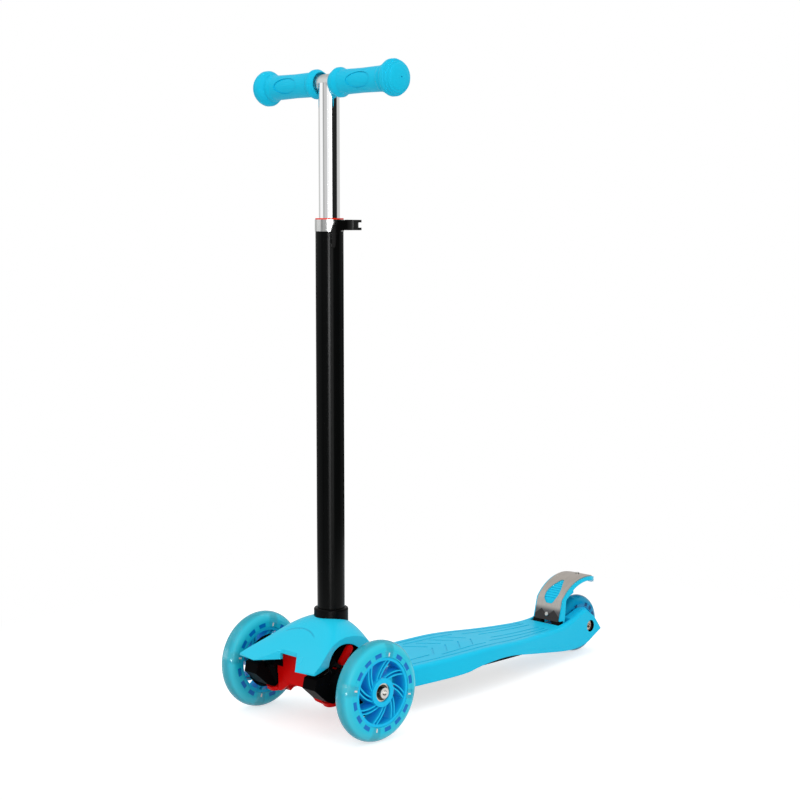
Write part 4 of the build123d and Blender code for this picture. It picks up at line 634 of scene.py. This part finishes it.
# The rear cast and dashes are painted darker than the front ones, as the shade under the brake.
rear_cast = cast_tyre("clear_cast_rear", rear_axle, 0, REAR_RIM, 0.07, 0.0, 0.3,
                      colour(0, 146, 200), colour(12, 162, 200), colour(0, 76, 126))
tyre("tyre_rear", "rear_tyre", "rear_wheel", rear_axle, REAR_RIM, rear_cast)

# ---------------------------------------------------------------- rear axle
# The rear wheel turns on a long steel bolt between the deck's two tail ears. Its head and nut
# sit in deep round recesses, and their zinc has yellowed a little.
dress(plated("yellow_zinc", colour(222, 206, 190), colour(150, 128, 112), 0.3),
      "rear_axle_bolt", "rear_axle_nut")

# ---------------------------------------------------------------- brake
# The foot brake is a curved cyan arm over the rear wheel, topped by a stamped plate of brushed
# aluminium with a ribbed leaf-shaped window. The plate is darker towards its foot, with a row of
# dark teeth. The arm's own foot is painted black, as shade where it goes into the deck.
ARM_FOOT_TOP = 0.0552
ARM_FOOT_BACK = 0.2055

def brake_foot_shade(place):
    """The arm's foot, painted black as the shade where it goes down into the deck."""
    _, y, z = place.axes()
    low_down = 1 - z.between(ARM_FOOT_TOP - 0.0003, ARM_FOOT_TOP)
    return low_down * (1 - y.between(ARM_FOOT_BACK - 0.0005, ARM_FOOT_BACK))


# The brake arm is painted black at its foot, as shade where it goes into the deck.
dress(moulded("brake_plastic", colour(36, 212, 247), colour(26, 202, 241), 0.3,
              painted_shade=brake_foot_shade, IOR=1.15), "brake_arm")
brake_metal, plate_place = start_finish("brake_metal")
plate_x, _, plate_z = plate_place.axes()
TOOTH_PITCH = 0.0218
TOOTH_FOOT = 0.0605
TOOTH_HEIGHT = 0.0085
TOOTH_BLUR = 0.0003
# Heights over which the plate turns from dark at its foot to bare metal.
FOOT_DARKENING = (0.066, 0.0745)
tooth = plate_place.maths("PINGPONG", plate_x, TOOTH_PITCH / 2) / (TOOTH_PITCH / 2)
in_tooth = 1 - (plate_z - tooth * TOOTH_HEIGHT).between(TOOTH_FOOT - TOOTH_BLUR,
                                                      TOOTH_FOOT + TOOTH_BLUR)
faded = 1 - plate_z.between(*FOOT_DARKENING)
brushed = plate_place.noise(60, 4.0, (14, 1, 1))
steel_tint = brushed.mix(colour(168, 160, 152), colour(204, 196, 188))
foot_tint = faded.mix(steel_tint, colour(92, 90, 90))
plate_base = in_tooth.mix(foot_tint, colour(50, 46, 45))
plate_shader = surface(plate_place, plate_base, brushed * 0.18 + 0.28, brushed, 0.00003, 0.0004,
                       Metallic=0.55)
plate_place.add("ShaderNodeOutputMaterial", {0: plate_shader})
dress(brake_metal, "brake_cover_plate")
dress(turned_steel, "brake_pin")
dress(spring_steel, "brake_spring", "snap_spring")
dress(zinc, "brake_screws")

# ---------------------------------------------------------------- column and its socket
# The lower column is a steel tube in satin black powder paint. It stands in a black moulded
# socket, and a spring button holds it there.
tube_paint, tube_place = start_finish("tube_paint")
peel = tube_place.noise(420, 2.0)
tube_base = tube_place.noise(8, 2.0).mix(colour(6, 7, 7), colour(12, 13, 13))
tube_shader = surface(tube_place, tube_base, tube_place.noise(30) * 0.06 + 0.15, peel, 0.000003,
                      0.0005, IOR=1.17)
tube_place.add("ShaderNodeOutputMaterial", {0: tube_shader})
dress(tube_paint, "column_tube")
dress(black_plastic, "column_socket", "snap_button", "stem_plug")

# ---------------------------------------------------------------- height clamp
# A polished aluminium ring is pulled shut round the split orange sleeve by a black quick-release
# lever on a cross bolt, with a curved washer under it.
dress(moulded("orange_plastic", colour(255, 52, 16), colour(246, 42, 12), 0.55, edge=0.0003,
              IOR=1.08), "column_sleeve")
dress(plated("polished_aluminium", colour(234, 235, 234), colour(214, 215, 214), 0.18, grain=200,
             stretch=(1, 1, 9)), "clamp_collar", "clamp_washer", "lever_barrel")
dress(moulded("lever_plastic", colour(12, 12, 12), colour(7, 7, 7), 0.16, IOR=1.16),
      "clamp_lever")
dress(plated("blackened_steel", colour(74, 70, 68), colour(38, 36, 36), 0.36), "clamp_bolt")

# ---------------------------------------------------------------- stem and crossbar
# The upper stem is chromed steel tube and slides in the column. Its top is coped to the
# crossbar, a satin tube welded across it, which the grips are pushed on to.
chrome, chrome_place = start_finish("chrome")
wiped = chrome_place.noise(25, 3.0, (6, 6, 1))
chrome_shader = surface(chrome_place, wiped.mix(colour(242, 243, 244), colour(252, 252, 252)),
                        wiped * 0.05 + 0.03, wiped, 0.000001, Metallic=1.0)
chrome_place.add("ShaderNodeOutputMaterial", {0: chrome_shader})
dress(chrome, "handlebar_stem")
dress(plated("satin_crossbar", colour(226, 227, 225), colour(204, 205, 203), 0.34),
      "handlebar_crossbar")

# ---------------------------------------------------------------- grips
# The grips are moulded in one from soft cyan rubber, with a flared mouth, a thumb recess and a
# stepped flange. Their skin is matt and finely frosted.
dress(moulded("grip_rubber", colour(20, 202, 238), colour(10, 192, 230), 0.42, grain=1100,
              depth=0.00001, IOR=1.22), "grip_left", "grip_right")
